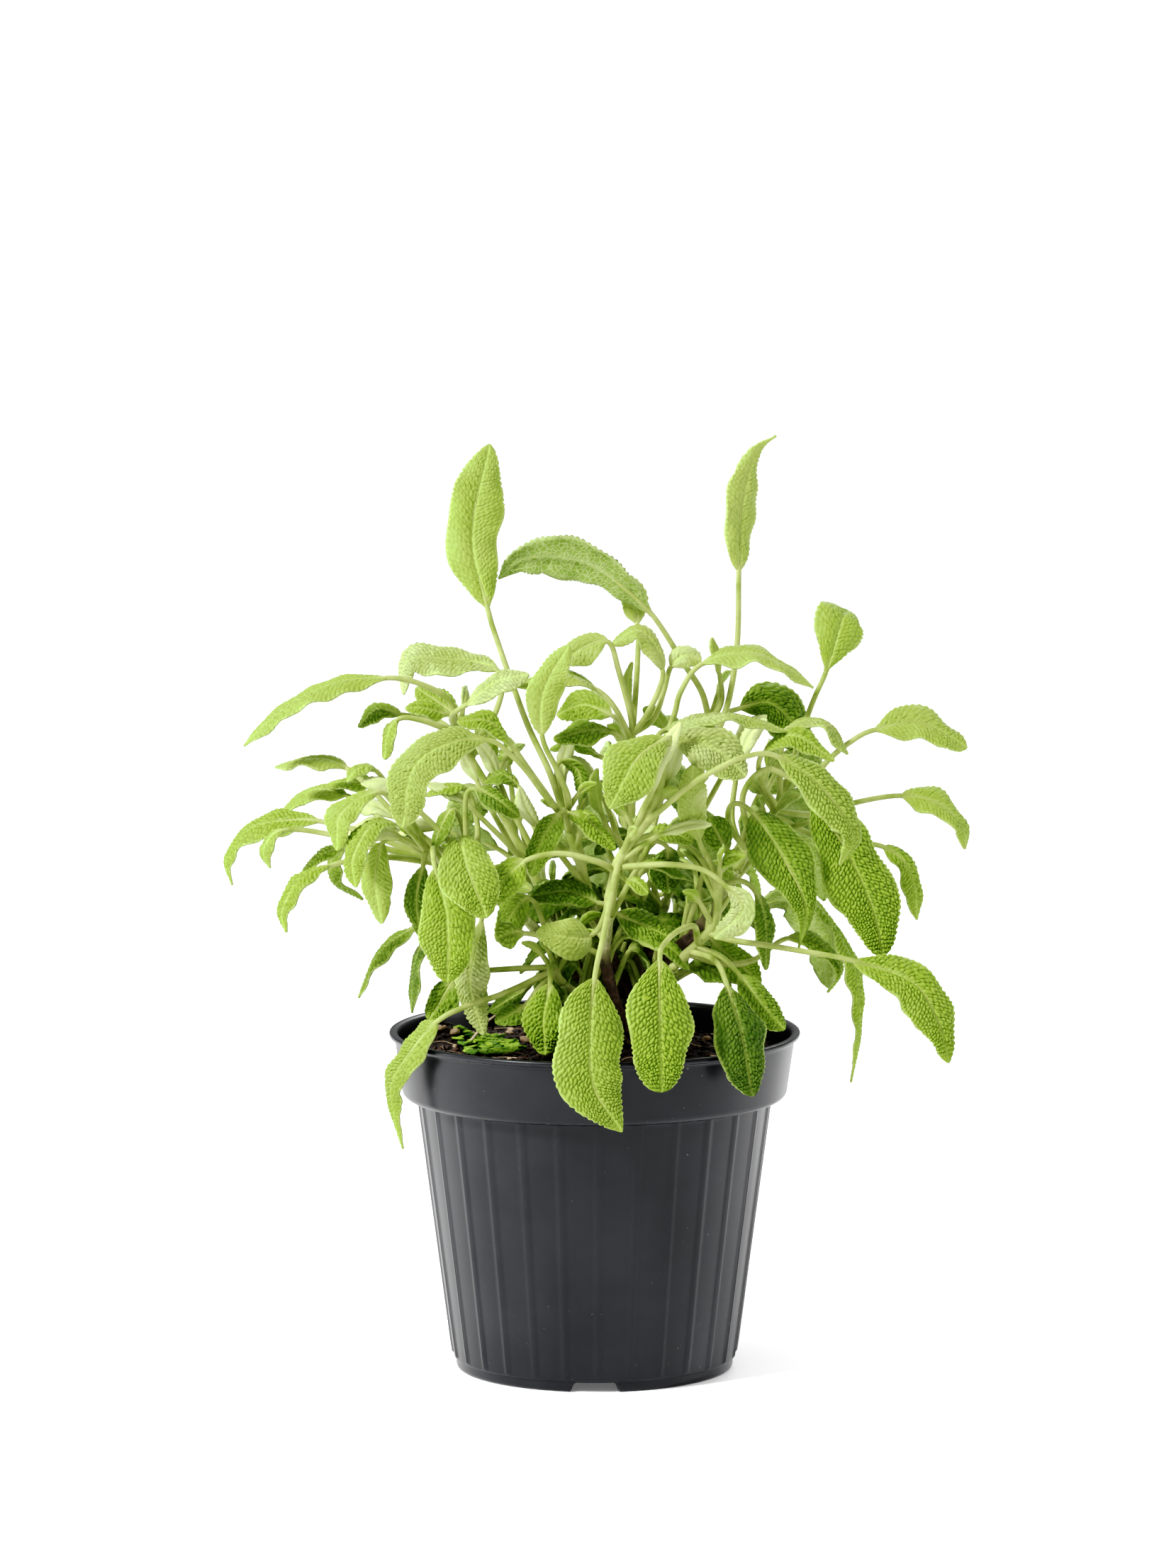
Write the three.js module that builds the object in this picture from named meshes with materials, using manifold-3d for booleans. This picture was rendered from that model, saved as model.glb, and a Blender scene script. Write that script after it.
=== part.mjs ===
// Potted sage: a ribbed plastic herb pot, its soil, the woody crown and the leafy shoots.
// Millimetres, +Z up, the origin on the floor under the pot's axis, the front towards -Y.
import * as THREE from "three";
import { mergeVertices } from "three/addons/utils/BufferGeometryUtils.js";
import Module from "manifold-3d";

const wasm = await Module();
wasm.setup();

// Pot
const POT_SIDES = 40;
const POT_HEIGHT = 99.6;
const LIP_RADIUS = 60;
const FLOOR_UNDER = 3; // underside of the floor, above the foot ring's lower edge
const FLOOR_TOP = 4.2;
const BODY_FOOT = 3.3; // where the ribbed wall starts
const BODY_RADIUS_LOW = 41.3;
const BODY_RADIUS_TOP = 51.4;
const BAND_LOW = 80;
const BAND_RADIUS_LOW = 56.3;
const BAND_RADIUS_TOP = 58.4;
const WALL = 1.2;
const RIBS = 28;
const RIB_PROUD = 0.55;
const RIB_WIDTH = 1.1;
const RIB_OFFSET_DEG = 1;
const NOTCHES = 3;
const NOTCH_WIDTH = 12.2;
const DRAIN_HOLES = 4;
const DRAIN_RADIUS = 4;
const DRAIN_CIRCLE = 26;

// Soil
const SOIL_SIDES = 28;
const SOIL_TOP = 93;
const MOUND_X = -46;
const MOUND_Y = 10;
const MOUND_HEIGHT = 7;
const MOUND_SPREAD = 7;
const CLEARANCE = 0.3;
const TRUNK_HOLE_RADIUS = 3.4;
const TRUNK_HOLE_BOTTOM = 74;

// Plant
const BLADE_HALF_THICKNESS = 0.36;
const TOOTH_DEPTH = 0.45;
const BASE_POINT = 0.78; // how drawn out a blade is towards its base
const TIP_POINT = 0.55; // and towards its tip
const FOLD = 0.16; // drop of a blade's edge for each unit of half width
const RIPPLE = 0.1; // side-to-side wave of the edges for each unit of half width
// Blades wider than this have teeth between their stations, and the edges of the rest wave at them.
const TOOTHED_FROM = 10.4;
const STALK_RADIUS_ROOT = 1;
const STALK_RADIUS_TOP = 0.75;
const LIMB_STEP = 13; // aimed length of one facet along a woody branch or a green stem
const STALK_STEP = 18;
const BLADE_STEP = 8;
const STEM_GAP = 0.8; // between a woody tip and the green stem that goes on from it

// Sight-line coordinates: each point below is [across, up, depth], where across and up are read in the
// upright plane through the pot's axis as the eye sees it, and depth is how far it lies behind that plane.
const EYE = new THREE.Vector3(-2, -2211, 455);
const TOWARD_EYE = new THREE.Vector3(0, -0.992, 0.127);

// Woody branches: [points, radius at the start, radius at the tip].
const WOOD = [
  [[[10, 76, -3], [10.5, 90, -3], [11, 98, -3], [12, 112, -3], [12, 127, -1], [12, 136, 0]], 2.9, 1.6],
  [[[10.5, 94, -3], [3, 103, -4], [-3, 113, -5], [-8, 119, -6], [-14, 126, -8], [-21, 133, -10]], 1.9, 1.4],
  [[[11, 98, -3], [16, 110, -5], [20, 120, -8], [27, 126, -10], [33, 133, -9], [38, 140, -7],
    [41, 146, -6]], 2, 1.5],
  [[[11.5, 104, -3], [8, 115, -5], [2, 128, -7], [-1, 136, -8]], 1.7, 1.4],
  [[[10.5, 97, -4], [6, 108, -14], [3, 121, -20], [4, 133, -22]], 1.7, 1.5],
  [[[12, 113, -3], [17, 126, 5], [21, 138, 11]], 1.6, 1.4],
  [[[10.5, 96, -2], [0, 110, 3], [-8, 124, 5], [-14, 137, 6]], 1.7, 1.4],
  [[[10.5, 95, -4], [2, 103, -12], [-9, 113, -20]], 1.6, 1.3],
  [[[11, 99, -4], [16, 108, -12], [22, 117, -19]], 1.7, 1.4],
  [[[10.5, 98, -1], [2, 108, 10], [-6, 120, 18]], 1.7, 1.4],
  [[[11, 100, -1], [10, 112, 12], [8, 124, 21]], 1.7, 1.4],
  [[[11, 99, -1], [18, 110, 8], [25, 122, 16]], 1.7, 1.4],
];

// Leafy shoots: [name, stem points, radius at the start, radius at the tip, leaves].
// A leaf is [stalk points from the stem, blade points from base to tip, blade width, turn, widest place,
// point], where a point of 0.4 gives a round tip, 1 a drawn-out one, and none the usual tip.
// Turn is in degrees: 0 shows the upper face to the eye, 90 turns it up and outwards.
const SHOOTS = [
  ["shoot_left_low", [[-21, 133, -10], [-30, 139, -12], [-40, 145, -13], [-48, 149.5, -12]], 1.5, 1.2, [
    [[[-44, 147.3, -12.5], [-58, 163, -4]],
      [[-72, 176.5, 2], [-82, 179, 4], [-93, 176.8, 6]], 9, 67, 0.45, 0.8],
    [[[-43, 146.7, -12.5], [-54, 162, -13]],
      [[-63.5, 175.8, -15], [-69, 176.3, -18], [-72, 172.5, -20]], 6, 55, 0.45],
    [[[-44, 147.2, -12], [-54, 160, 2]],
      [[-63, 171, 10], [-70, 172.5, 14], [-77.5, 171.8, 18]], 7, 60, 0.45],
    [[[-46, 148.4, -12], [-60, 160, 6]],
      [[-72, 168.5, 14], [-83, 169.3, 18], [-94, 161.2, 22]], 9.5, 65, 0.45, 0.8],
    [[[-46, 148.4, -12.5], [-55, 163, -24]],
      [[-63, 169.5, -31], [-74, 163, -36], [-75, 152.3, -37]], 9.5, 40, 0.5],
    [[[-47.5, 149.3, -12], [-65, 157, -8]],
      [[-80, 161, -4], [-90, 161.3, -2], [-100, 158.5, 0], [-107, 150, 2],
        [-105.8, 142.2, 3]], 11, 57, 0.45, 0.9],
    [[[-47, 149, -12.3], [-72, 156, -14]],
      [[-90, 158.5, -15], [-96, 153, -16], [-94.5, 147.2, -16]], 6, 60, 0.5],
    [[[-47.5, 149.2, -12.5], [-63, 150.5, -18]],
      [[-77, 148, -22], [-86, 143.5, -26], [-91, 135, -28], [-90, 128.2, -29]], 8.5, 55, 0.45, 0.8],
    [[[-47, 149, -12], [-63, 153, 0]], [[-72, 153, 6], [-79, 151.5, 9], [-85, 146.3, 12]], 6, 58, 0.5],
    [[[-46, 148.4, -11.5], [-60, 157, 6]],
      [[-71, 157, 16], [-76, 150, 20], [-75, 143, 21], [-67.5, 137.8, 20]], 8, 68, 0.5],
    [[[-46.5, 148.8, -13], [-53, 157, -26]],
      [[-57, 160, -31], [-65, 159.5, -37], [-70.5, 150, -41], [-69.5, 141.5, -42]], 9, 40, 0.5],
    [[[-47, 149, -13], [-55, 155, -21]],
      [[-61.5, 155, -24], [-64, 144, -27], [-62, 130.8, -28]], 9, 25, 0.45],
    [[[-44, 147, -14], [-47, 153, -28]],
      [[-46.5, 147.5, -37], [-43, 132, -43], [-43, 113.5, -43]], 17.5, 8, 0.5],
    [[[-38, 144, -14], [-39.5, 156, -26]],
      [[-39.5, 156.5, -38], [-37, 147, -46], [-31.5, 132.5, -50]], 17, 5, 0.45],
    [[[-38, 143.8, -13], [-33, 140, -20]],
      [[-33, 132, -25], [-36.5, 115, -30], [-32.5, 97.8, -31]], 10, 20, 0.5],
    [[[-43, 146, -12], [-46, 137, -5]],
      [[-51.5, 130.8, -3], [-60, 124.5, -2], [-65, 117.5, -1], [-69, 109, 0]], 8, 72, 0.45, 0.9],
    [[[-41, 145.5, -13], [-47, 136, -17]],
      [[-50, 126, -20], [-52.5, 116, -23], [-53.5, 104.5, -24]], 8, 66, 0.45, 0.9],
    [[[-46, 148.4, -12.5], [-49, 152, -18]],
      [[-50, 148, -23], [-52, 138, -27], [-51, 127, -28]], 8, 25, 0.45],
    [[[-38, 144, -12], [-38, 157, -9]],
      [[-41, 164.5, -10], [-44.5, 160, -14], [-46.5, 153, -17]], 7, 52, 0.45],
    [[[-37, 143.3, -12], [-37.5, 158, -16], [-37.5, 168, -18]],
      [[-35, 170.5, -20], [-29, 167.5, -22], [-22, 162.2, -24]], 8, 42, 0.45],
    [[[-36, 142.5, -12], [-34, 158, -1]],
      [[-37, 170, 0], [-43, 170.8, -2], [-49.5, 168.5, -3]], 6, 60, 0.45],
  ]],
  ["shoot_left_tip",
    [[-14, 137, 6], [-20, 150, 7], [-30, 169, 6], [-37.5, 182, 5], [-41, 189, 4]], 1.4, 1, [
    [[[-40.5, 187.5, 4.5], [-42, 196, 3], [-50, 201, 1]],
      [[-60, 203, -1], [-75, 201, -4], [-88, 195.5, -6], [-102, 183, -8]], 12, 65, 0.45, 0.8],
    [[[-40, 186, 5], [-46, 190.5, 7]], [[-56, 192.2, 9], [-63, 193.5, 10], [-68.8, 188.6, 11]], 8, 50, 0.5],
    [[[-40, 187, 4.5], [-39, 191, 10]], [[-40, 192, 14], [-46, 196.5, 18], [-52, 200, 22]], 9.5, 25, 0.5],
    [[[-40.5, 188, 4], [-41, 191.5, 0]], [[-43, 192.5, -3], [-49, 194, -6], [-55, 194, -8]], 6.5, 40, 0.45],
    [[[-36, 179.5, 5.5], [-28, 195, 13]],
      [[-28, 205, 18], [-42, 208.5, 24], [-54, 208, 27], [-55.5, 198, 28]], 12, 42, 0.5],
    [[[-40, 186, 4], [-50, 190.5, 1]], [[-57, 191, 0], [-60.5, 185.5, -1], [-61, 179, -2]], 7, 58, 0.5],
    [[[-40.5, 188, 3.5], [-41.5, 192, -4]],
      [[-37.5, 195, -10], [-29, 201.5, -14], [-19, 203.8, -15]], 9, 43, 0.5],
    [[[-31, 170.5, 6], [-31, 173, 10]], [[-29.5, 177, 13], [-31, 184, 14], [-33, 190, 14]], 6, 50, 0.5],
  ]],
  ["shoot_centre_left",
    [[-1, 136, -8], [-2.5, 142, -9], [-5, 151, -10], [-8.5, 161, -11], [-9.5, 165, -11]], 1.5, 1.3, [
    [[[-9, 163, -11], [-13, 175, -8], [-19, 188, -5], [-23.5, 200, -3], [-28, 213, 0]],
      [[-31, 223, 2], [-35.5, 245, 4], [-30.4, 271, 2]], 16.5, 0, 0.5, 0.62],
    [[[-9, 162, -11.5], [-7.5, 167, -14], [-11, 176, -17]],
      [[-15.3, 186, -19], [-14.5, 200, -21], [-7.5, 212.5, -21]], 10.5, 18, 0.45],
    [[[-8.7, 161, -11.5], [-12, 166, -17], [-19, 176, -24]],
      [[-24, 183, -27], [-31, 190.5, -29], [-40, 190, -30]], 8, 50, 0.5],
    [[[-8.7, 161.5, -12], [-14, 168, -25], [-20, 176, -33], [-25, 181, -37]],
      [[-30.5, 184.7, -40], [-42, 184, -44], [-53, 176, -47], [-56, 159, -49]], 15, 28, 0.55],
    [[[-7.5, 158, -11.5], [-8.5, 163, -17]],
      [[-10, 163.5, -21], [-15.5, 155, -25], [-18.5, 144.7, -26]], 9.5, 25, 0.45],
    [[[-8.5, 160.5, -11.5], [-9, 164, -13]],
      [[-8, 163.5, -16], [-1, 160.5, -18], [6, 152.5, -19]], 8, 45, 0.45],
    [[[-9, 163, -10.5], [-11, 175, -7]], [[-10, 178.5, -5], [-5, 176, -4], [-3.5, 168, -4]], 6, 42, 0.5],
    [[[-5, 150.5, -9.5], [-16, 157, -6], [-20, 167, -5]],
      [[-22, 171, -4], [-27, 174.5, -3], [-32, 172, -2]], 7, 58, 0.5],
  ]],
  ["shoot_centre_top", [[12, 136, 0], [11, 150, 0], [10.5, 170, 1], [11, 189, 1]], 1.5, 1, [
    [[[10.8, 186, 1], [10.5, 192, 0], [7, 205, -3]],
      [[4, 213.5, -5], [-3, 212, -6], [-10, 207, -7]], 9.5, 25, 0.5],
    [[[11, 187, 1], [14.5, 191, 0], [18.5, 199, 0]],
      [[19.8, 205, 0], [17, 212, 0], [12, 216.5, 0], [5, 212.5, 0]], 8, 48, 0.45],
    [[[11, 186, 1.5], [17, 191, 2], [20, 199, 3]],
      [[22, 206, 3], [26, 209.5, 3], [31, 208, 3]], 8, 30, 0.5],
    [[[11, 188, 1]], [[10.5, 195, 1.5], [9.8, 202, 2], [10.9, 207.6, 2.5]], 4.5, 55, 0.5],
    [[[11, 187.5, 1.5], [12, 200, 9], [12.6, 212, 14]],
      [[12.4, 218.5, 16], [11, 227, 17.5], [6, 233, 18]], 9, 20, 0.5],
    [[[10.7, 177, 1], [19, 183, -5], [23, 192, -7], [25, 199, -8]],
      [[31, 207, -8], [45, 210.5, -8], [53, 207.5, -8], [63.5, 200, -8]], 11, 63, 0.45, 0.9],
    [[[11, 185, 0.8], [6, 194, -3]], [[1, 199.3, -4], [-8, 204, -6], [-23, 200.3, -8]], 9, 64, 0.45],
    [[[10.9, 185, 1.5], [8, 189, 6]], [[5, 192, 10], [-3, 195, 14], [-11, 192, 17]], 10, 25, 0.5],
    [[[10.7, 177, 0.8], [8, 184, -3]], [[5, 187, -6], [-2, 187.5, -9], [-12, 185, -11]], 9, 40, 0.5],
    [[[10.5, 172, 1], [6, 178, 3]], [[1.5, 180, 5], [-6, 184.5, 7], [-13, 182, 8]], 7, 66, 0.5],
    [[[11, 152, 0], [5, 157, -4]], [[2.2, 163, -6], [0, 171, -8], [0.8, 176.5, -8]], 6, 50, 0.5],
  ]],
  ["shoot_front",
    [[4, 133, -22], [5, 141, -25], [7, 149, -28], [10, 154, -29], [14, 160, -30], [18, 168, -31],
     [20, 178, -32]], 1.7, 1.3, [
    [[[19.8, 177, -32], [21.5, 183, -35]],
      [[21, 185.5, -38], [12, 179, -44], [4.3, 164.6, -48]], 16.5, 20, 0.5, 0.7],
    [[[19.8, 177, -31.5], [21, 183, -29]],
      [[23, 185, -27], [34, 182.5, -28], [44, 174, -29]], 14.5, 22, 0.5],
    [[[14, 160, -30], [20, 165, -34], [27, 171, -37], [35, 176, -38], [44, 180, -37]],
      [[53, 180, -35], [67, 170, -33], [75, 157, -31], [71.3, 148, -30]], 12, 30, 0.45, 0.8],
    [[[20, 177, -31], [18.5, 183, -26]],
      [[20, 187.5, -21], [36, 191.8, -17], [56.3, 187.3, -14]], 11, 76, 0.45, 0.9],
    [[[7, 149, -28.5], [5, 140, -38], [2.5, 127, -49]],
      [[0, 115, -56], [-1.5, 97, -63], [0, 82, -65], [8, 69.3, -65]], 21, 10, 0.45, 0.8],
    [[[6, 146, -27.5], [1, 149, -31], [-10, 151.5, -32]],
      [[-20, 149.5, -33], [-26, 144, -34], [-29, 137, -34]], 11, 25, 0.5],
    [[[6.5, 147, -27.5]], [[8.8, 144, -30], [12, 143, -32], [15.5, 139.5, -33]], 5.5, 40, 0.5],
    [[[4.6, 138, -24], [4.5, 136, -21]], [[6, 134, -19], [13, 131, -18], [22, 126.5, -18]], 10, 30, 0.5],
    [[[9, 152.5, -28.5], [12, 155, -25]],
      [[16, 157, -22], [22, 157.5, -20], [28.5, 154.5, -19]], 7, 40, 0.5],
    [[[8, 151, -28], [16, 155, -19]],
      [[21, 153.5, -15], [21, 147, -14], [21.5, 139.7, -14]], 10.5, 20, 0.5],
    [[[6.5, 147, -28], [14, 148, -32], [22, 148.2, -34], [31, 146.8, -35]],
      [[38, 142, -35], [43, 135, -35], [35, 126.3, -35]], 8, 30, 0.5],
    [[[4.2, 135, -23], [2, 131, -28]],
      [[-1, 127.5, -31], [-8, 127, -35], [-17, 128.3, -37]], 12.5, 15, 0.35],
    [[[4.6, 138, -24], [4, 137, -20]], [[1, 137, -18], [-8, 140.5, -17], [-18.5, 139, -17]], 10, 38, 0.45],
  ]],
  ["shoot_front_low", [[-9, 113, -20], [-11, 115.5, -22.5], [-12, 121, -24]], 1.3, 1.2, [
    [[[-11.5, 117, -23], [-26, 110.5, -31], [-38, 106.3, -38]],
      [[-46, 102, -40], [-54, 93, -34], [-59, 84, -28], [-58.5, 74, -26],
        [-56.2, 64.2, -26]], 10, 48, 0.35, 0.9],
    [[[-11.5, 118, -23.5], [-25, 117.5, -22], [-36, 116.5, -21]],
      [[-41, 114, -21], [-45, 108, -22], [-48.5, 102.3, -23]], 9.5, 20, 0.45],
    [[[-11.5, 118, -24], [-13, 118, -30]],
      [[-13, 113.5, -34], [-15, 103, -37], [-14.5, 92, -38]], 12, 12, 0.5],
    [[[-11.5, 117, -22.5], [-17, 115, -16]],
      [[-20, 111.5, -13], [-26, 108, -10], [-31, 105, -8]], 8, 40, 0.45],
    [[[-11.5, 116.5, -24], [-17, 111, -28]],
      [[-20, 107, -30], [-25, 104, -32], [-29, 101.5, -33]], 7, 30, 0.5],
    [[[-12, 120, -24], [-10, 125, -27], [-15, 127, -29]],
      [[-20, 128, -30], [-24, 128, -31], [-28.5, 126, -32]], 9, 20, 0.65],
    [[[-12, 120.5, -24], [-15, 131, -22]],
      [[-18.5, 138, -21], [-24, 134, -21], [-28.5, 125.5, -21]], 10, 30, 0.45],
  ]],
  ["shoot_right",
    [[22, 117, -19], [27, 122, -20], [33, 128, -20], [35.5, 133, -21], [36, 140, -22],
     [35.5, 146, -22]], 1.4, 1.2, [
    [[[35.5, 145.5, -22], [33, 150, -26]],
      [[30.5, 155, -28], [28.5, 166, -30.5], [28.5, 177.5, -31.5]], 9.5, 12, 0.5],
    [[[35.5, 145, -21.5], [38.5, 148.5, -17]],
      [[38.5, 151.5, -17], [36, 157, -18], [33, 162, -19]], 10, 20, 0.5],
    [[[35.6, 144, -22.5]], [[36.5, 147, -25], [39, 150.5, -28], [44, 150.8, -29]], 5.5, 50, 0.5],
    [[[35.8, 141, -21.5], [42, 143.5, -17]],
      [[47, 140, -15], [50, 129, -14], [50, 117.2, -14]], 8, 48, 0.45],
    [[[30, 125, -20.3], [29, 130, -31], [24, 128.5, -42], [20, 124.5, -51]],
      [[19, 120.5, -56], [19, 102, -62], [19.5, 81, -63]], 19, 10, 0.5, 0.42],
    [[[33, 128, -20.5], [40, 126, -25], [50, 124.5, -28], [62, 122.5, -29]],
      [[75, 120, -30], [92, 114, -31], [100, 103, -31], [103.5, 89.7, -31]], 14.5, 25, 0.5, 0.62],
    [[[27, 122, -20], [37, 119, -15], [46, 120, -10]],
      [[56, 126.5, -5], [66, 124.5, -1], [72, 117.5, 1], [68, 110.5, 2]], 8, 58, 0.45],
    [[[31, 126, -19.7], [32, 128, -12]], [[34, 126, -8], [42, 119, -6], [48.5, 113, -5]], 11, 25, 0.5],
    [[[28, 123, -20.5], [35, 120, -32]], [[38.5, 113, -40], [43, 97, -48], [46.2, 79.8, -50]], 17, 28, 0.5],
    [[[29, 124, -20], [37, 121, -23]], [[42, 116, -26], [48, 108, -30], [55.5, 99.5, -31]], 10, 25, 0.5],
  ]],
  ["shoot_right_top", [[41, 146, -6], [45, 153, -5], [50, 160, -3], [54.5, 168, 0]], 1.5, 1.2, [
    [[[54, 167, -0.5], [57, 176, 2], [60.5, 188, 3], [64, 197.5, 4]],
      [[67, 204.3, 5], [69.5, 213, 5], [72, 221, 9], [73.5, 222.5, 16]], 15, 8, 0.62, 0.5],
    [[[54, 167, -0.5], [62, 172, 0], [68, 179, 1], [74, 184, 2]],
      [[81, 187.7, 2], [95, 190, 3], [108.2, 182.3, 4]], 12.5, 35, 0.5, 0.6],
    [[[54, 167, -0.8], [54, 179, -1]], [[56, 188.3, -2], [66, 190, -3], [73.6, 180.5, -3]], 8, 68, 0.45],
    [[[53, 165.5, -1.5], [48, 174, -7]], [[49, 181, -12], [58, 186, -15], [69.7, 178.7, -17]], 8, 48, 0.45],
    [[[52.5, 164.5, -1.5], [65, 163, 4], [76, 166.5, 7]],
      [[89, 168.5, 9], [100, 166.5, 10], [107, 159.5, 10.5], [107.8, 152.8, 11]], 11, 48, 0.45, 0.7],
    [[[51.5, 163, -2], [66, 156, 3]], [[84, 153.5, 5], [92, 146, 6], [94, 132, 7]], 9, 45, 0.45, 0.7],
    [[[44.5, 152, -5.5], [39, 160, -10], [40, 166, -14]],
      [[46, 163.5, -18], [55, 150, -23], [61.5, 136, -25], [59.5, 123.3, -25]], 16, 12, 0.33, 1.5],
    [[[45.5, 154, -5], [43, 168, -8], [49, 176, -11], [56, 174, -13]],
      [[63, 168, -14], [70, 158, -15], [76, 147, -16], [82, 132, -17], [84, 121, -17]], 20, 12, 0.5],
    [[[48, 157.5, -4], [55, 149, -5]],
      [[62, 140, -5], [69, 131, -5], [75.5, 118, -5], [77.5, 104, -5], [75, 84, -5]], 9, 68, 0.4, 0.9],
  ]],
  ["shoot_back_tall",
    [[21, 138, 11], [25, 151, 13], [29, 168, 13], [32.5, 186, 12], [33.5, 193, 12]], 1.5, 1.2, [
    [[[33.2, 191, 12], [31, 199, 12], [26, 207, 11]],
      [[17, 221, 9], [8, 230, 8], [-3, 237.5, 8], [-20, 238, 8], [-28, 232, 8]], 14, 150, 0.55, 0.85],
    [[[31, 178, 12.6], [38, 193, 12], [41.3, 212, 11]],
      [[41.8, 234, 10.5], [42.5, 253, 10], [46, 268, 10], [52.5, 273.4, 10]], 10, 28, 0.4, 1.2],
    [[[33, 189, 12], [36.8, 196, 12]],
      [[36.3, 204, 11.5], [35.5, 209.5, 11], [34, 214.7, 11]], 4.5, 50, 0.5],
    [[[32.8, 187, 12.5], [37, 192, 17]],
      [[42, 194, 20], [50, 196, 22], [57, 190, 23], [61, 180, 23]], 14.5, 20, 0.5],
    [[[31, 177, 12.6], [25, 184, 10]], [[21, 188, 9], [18, 192, 9], [14, 194, 9]], 7, 35, 0.5],
  ]],
];

// Far-side shoots: [name, stem points, radius at the start, radius at the tip, leaf count, reach, seed].
const FAR_SHOOTS = [
  ["shoot_back_left", [[-6, 120, 18], [-13, 133, 25], [-24, 150, 31]], 1.5, 1.2, 8, 42, 3],
  ["shoot_back_centre", [[8, 124, 21], [9, 140, 32], [10, 158, 40]], 1.5, 1.2, 8, 36, 11],
  ["shoot_back_right", [[25, 122, 16], [34, 136, 24], [46, 150, 31]], 1.5, 1.2, 8, 42, 23],
];

const vec = (x, y, z) => new THREE.Vector3(x, y, z);

// The real place of a sight-line point [across, up, depth].
function seen([across, up, depth]) {
  const scale = (depth - EYE.y) / -EYE.y;
  return vec(EYE.x + scale * (across - EYE.x), depth, EYE.z + scale * (up - EYE.z));
}

// A repeatable draw between -1 and 1.
function draw(n) {
  const value = Math.sin(n * 12.9898) * 43758.5453;
  return 2 * (value - Math.floor(value)) - 1;
}

// Points on a smooth curve through the given ones, `steps` for each span.
function smooth(points, steps) {
  const curve = new THREE.CatmullRomCurve3(points, false, "catmullrom", 0.5);
  return curve.getPoints((points.length - 1) * steps);
}

function lengthOf(line) {
  let total = 0;
  for (let i = 1; i < line.length; i++) total += line[i].distanceTo(line[i - 1]);
  return total;
}

// The line cut into `count` equal lengths.
function evenly(line, count) {
  const step = lengthOf(line) / count;
  const out = [line[0].clone()];
  let walked = 0;
  for (let i = 1; i < line.length; i++) {
    const span = line[i].distanceTo(line[i - 1]);
    while (out.length < count && walked + span >= step * out.length) {
      const part = (step * out.length - walked) / span;
      out.push(line[i - 1].clone().lerp(line[i], part));
    }
    walked += span;
  }
  out.push(line[line.length - 1].clone());
  return out;
}

function tangents(line) {
  return line.map((_, i) =>
    line[Math.min(i + 1, line.length - 1)].clone().sub(line[Math.max(i - 1, 0)]).normalize());
}

const across = (v, axis) => v.clone().addScaledVector(axis, -v.dot(axis)).normalize();

// Normals carried along the line both ways from the one at `start`.
function carried(along, start, normal) {
  const out = [];
  out[start] = across(normal, along[start]);
  for (let i = start + 1; i < along.length; i++) out[i] = across(out[i - 1], along[i]);
  for (let i = start - 1; i >= 0; i--) out[i] = across(out[i + 1], along[i]);
  return out;
}

function solid(vertices, faces) {
  const vertProperties = new Float32Array(vertices.flatMap((p) => [p.x, p.y, p.z]));
  const make = (list) => {
    const triVerts = new Uint32Array(list.flat());
    return new wasm.Manifold(new wasm.Mesh({ numProp: 3, vertProperties, triVerts }));
  };
  const made = make(faces);
  return made.volume() > 0 ? made : make(faces.map(([a, b, c]) => [a, c, b]));
}

const fuse = (solids) => solids.reduce((a, b) => a.add(b));

// The largest body alone, without any scrap that fusing left.
const whole = (made) => made.decompose().reduce((a, b) => (b.volume() > a.volume() ? b : a));

// Triangles between two rings of `sides` vertices that start at `a` and `b`.
function between(a, b, sides) {
  const faces = [];
  for (let j = 0; j < sides; j++) {
    const k = (j + 1) % sides;
    faces.push([a + j, b + j, b + k], [a + j, b + k, a + k]);
  }
  return faces;
}

// Flat caps on the first and the last ring.
function caps(first, last, sides) {
  const faces = [];
  for (let j = 1; j < sides - 1; j++) {
    faces.push([first, first + j, first + j + 1], [last, last + j + 1, last + j]);
  }
  return faces;
}

// A round limb with a radius that tapers along the line.
function limb(points, radiusStart, radiusEnd, sides = 5) {
  const curve = smooth(points, 6);
  const line = evenly(curve, Math.max(2, Math.round(lengthOf(curve) / LIMB_STEP)));
  const along = tangents(line);
  const normals = carried(along, 0, Math.abs(along[0].z) > 0.9 ? vec(0, -1, 0) : vec(0, 0, 1));
  const vertices = [];
  line.forEach((p, i) => {
    const side = along[i].clone().cross(normals[i]);
    const radius = THREE.MathUtils.lerp(radiusStart, radiusEnd, i / (line.length - 1));
    for (let j = 0; j < sides; j++) {
      const angle = (2 * Math.PI * j) / sides;
      vertices.push(p.clone()
        .addScaledVector(side, radius * Math.cos(angle))
        .addScaledVector(normals[i], radius * Math.sin(angle)));
    }
  });
  const faces = line.slice(1).flatMap((_, i) => between(i * sides, (i + 1) * sides, sides));
  return solid(vertices, [...faces, ...caps(0, (line.length - 1) * sides, sides)]);
}

// Half the width of a blade at s, from 0 at its base to 1 at its tip.
function halfWidth(s, width, widest, point) {
  const bent = Math.pow(s, Math.log(0.5) / Math.log(widest));
  const drawnOut = THREE.MathUtils.lerp(BASE_POINT, point, s);
  const blade = 0.5 * width * Math.pow(Math.sin(Math.PI * bent), drawnOut);
  return Math.max(STALK_RADIUS_TOP * (1 - s), 0.35, blade);
}

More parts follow.
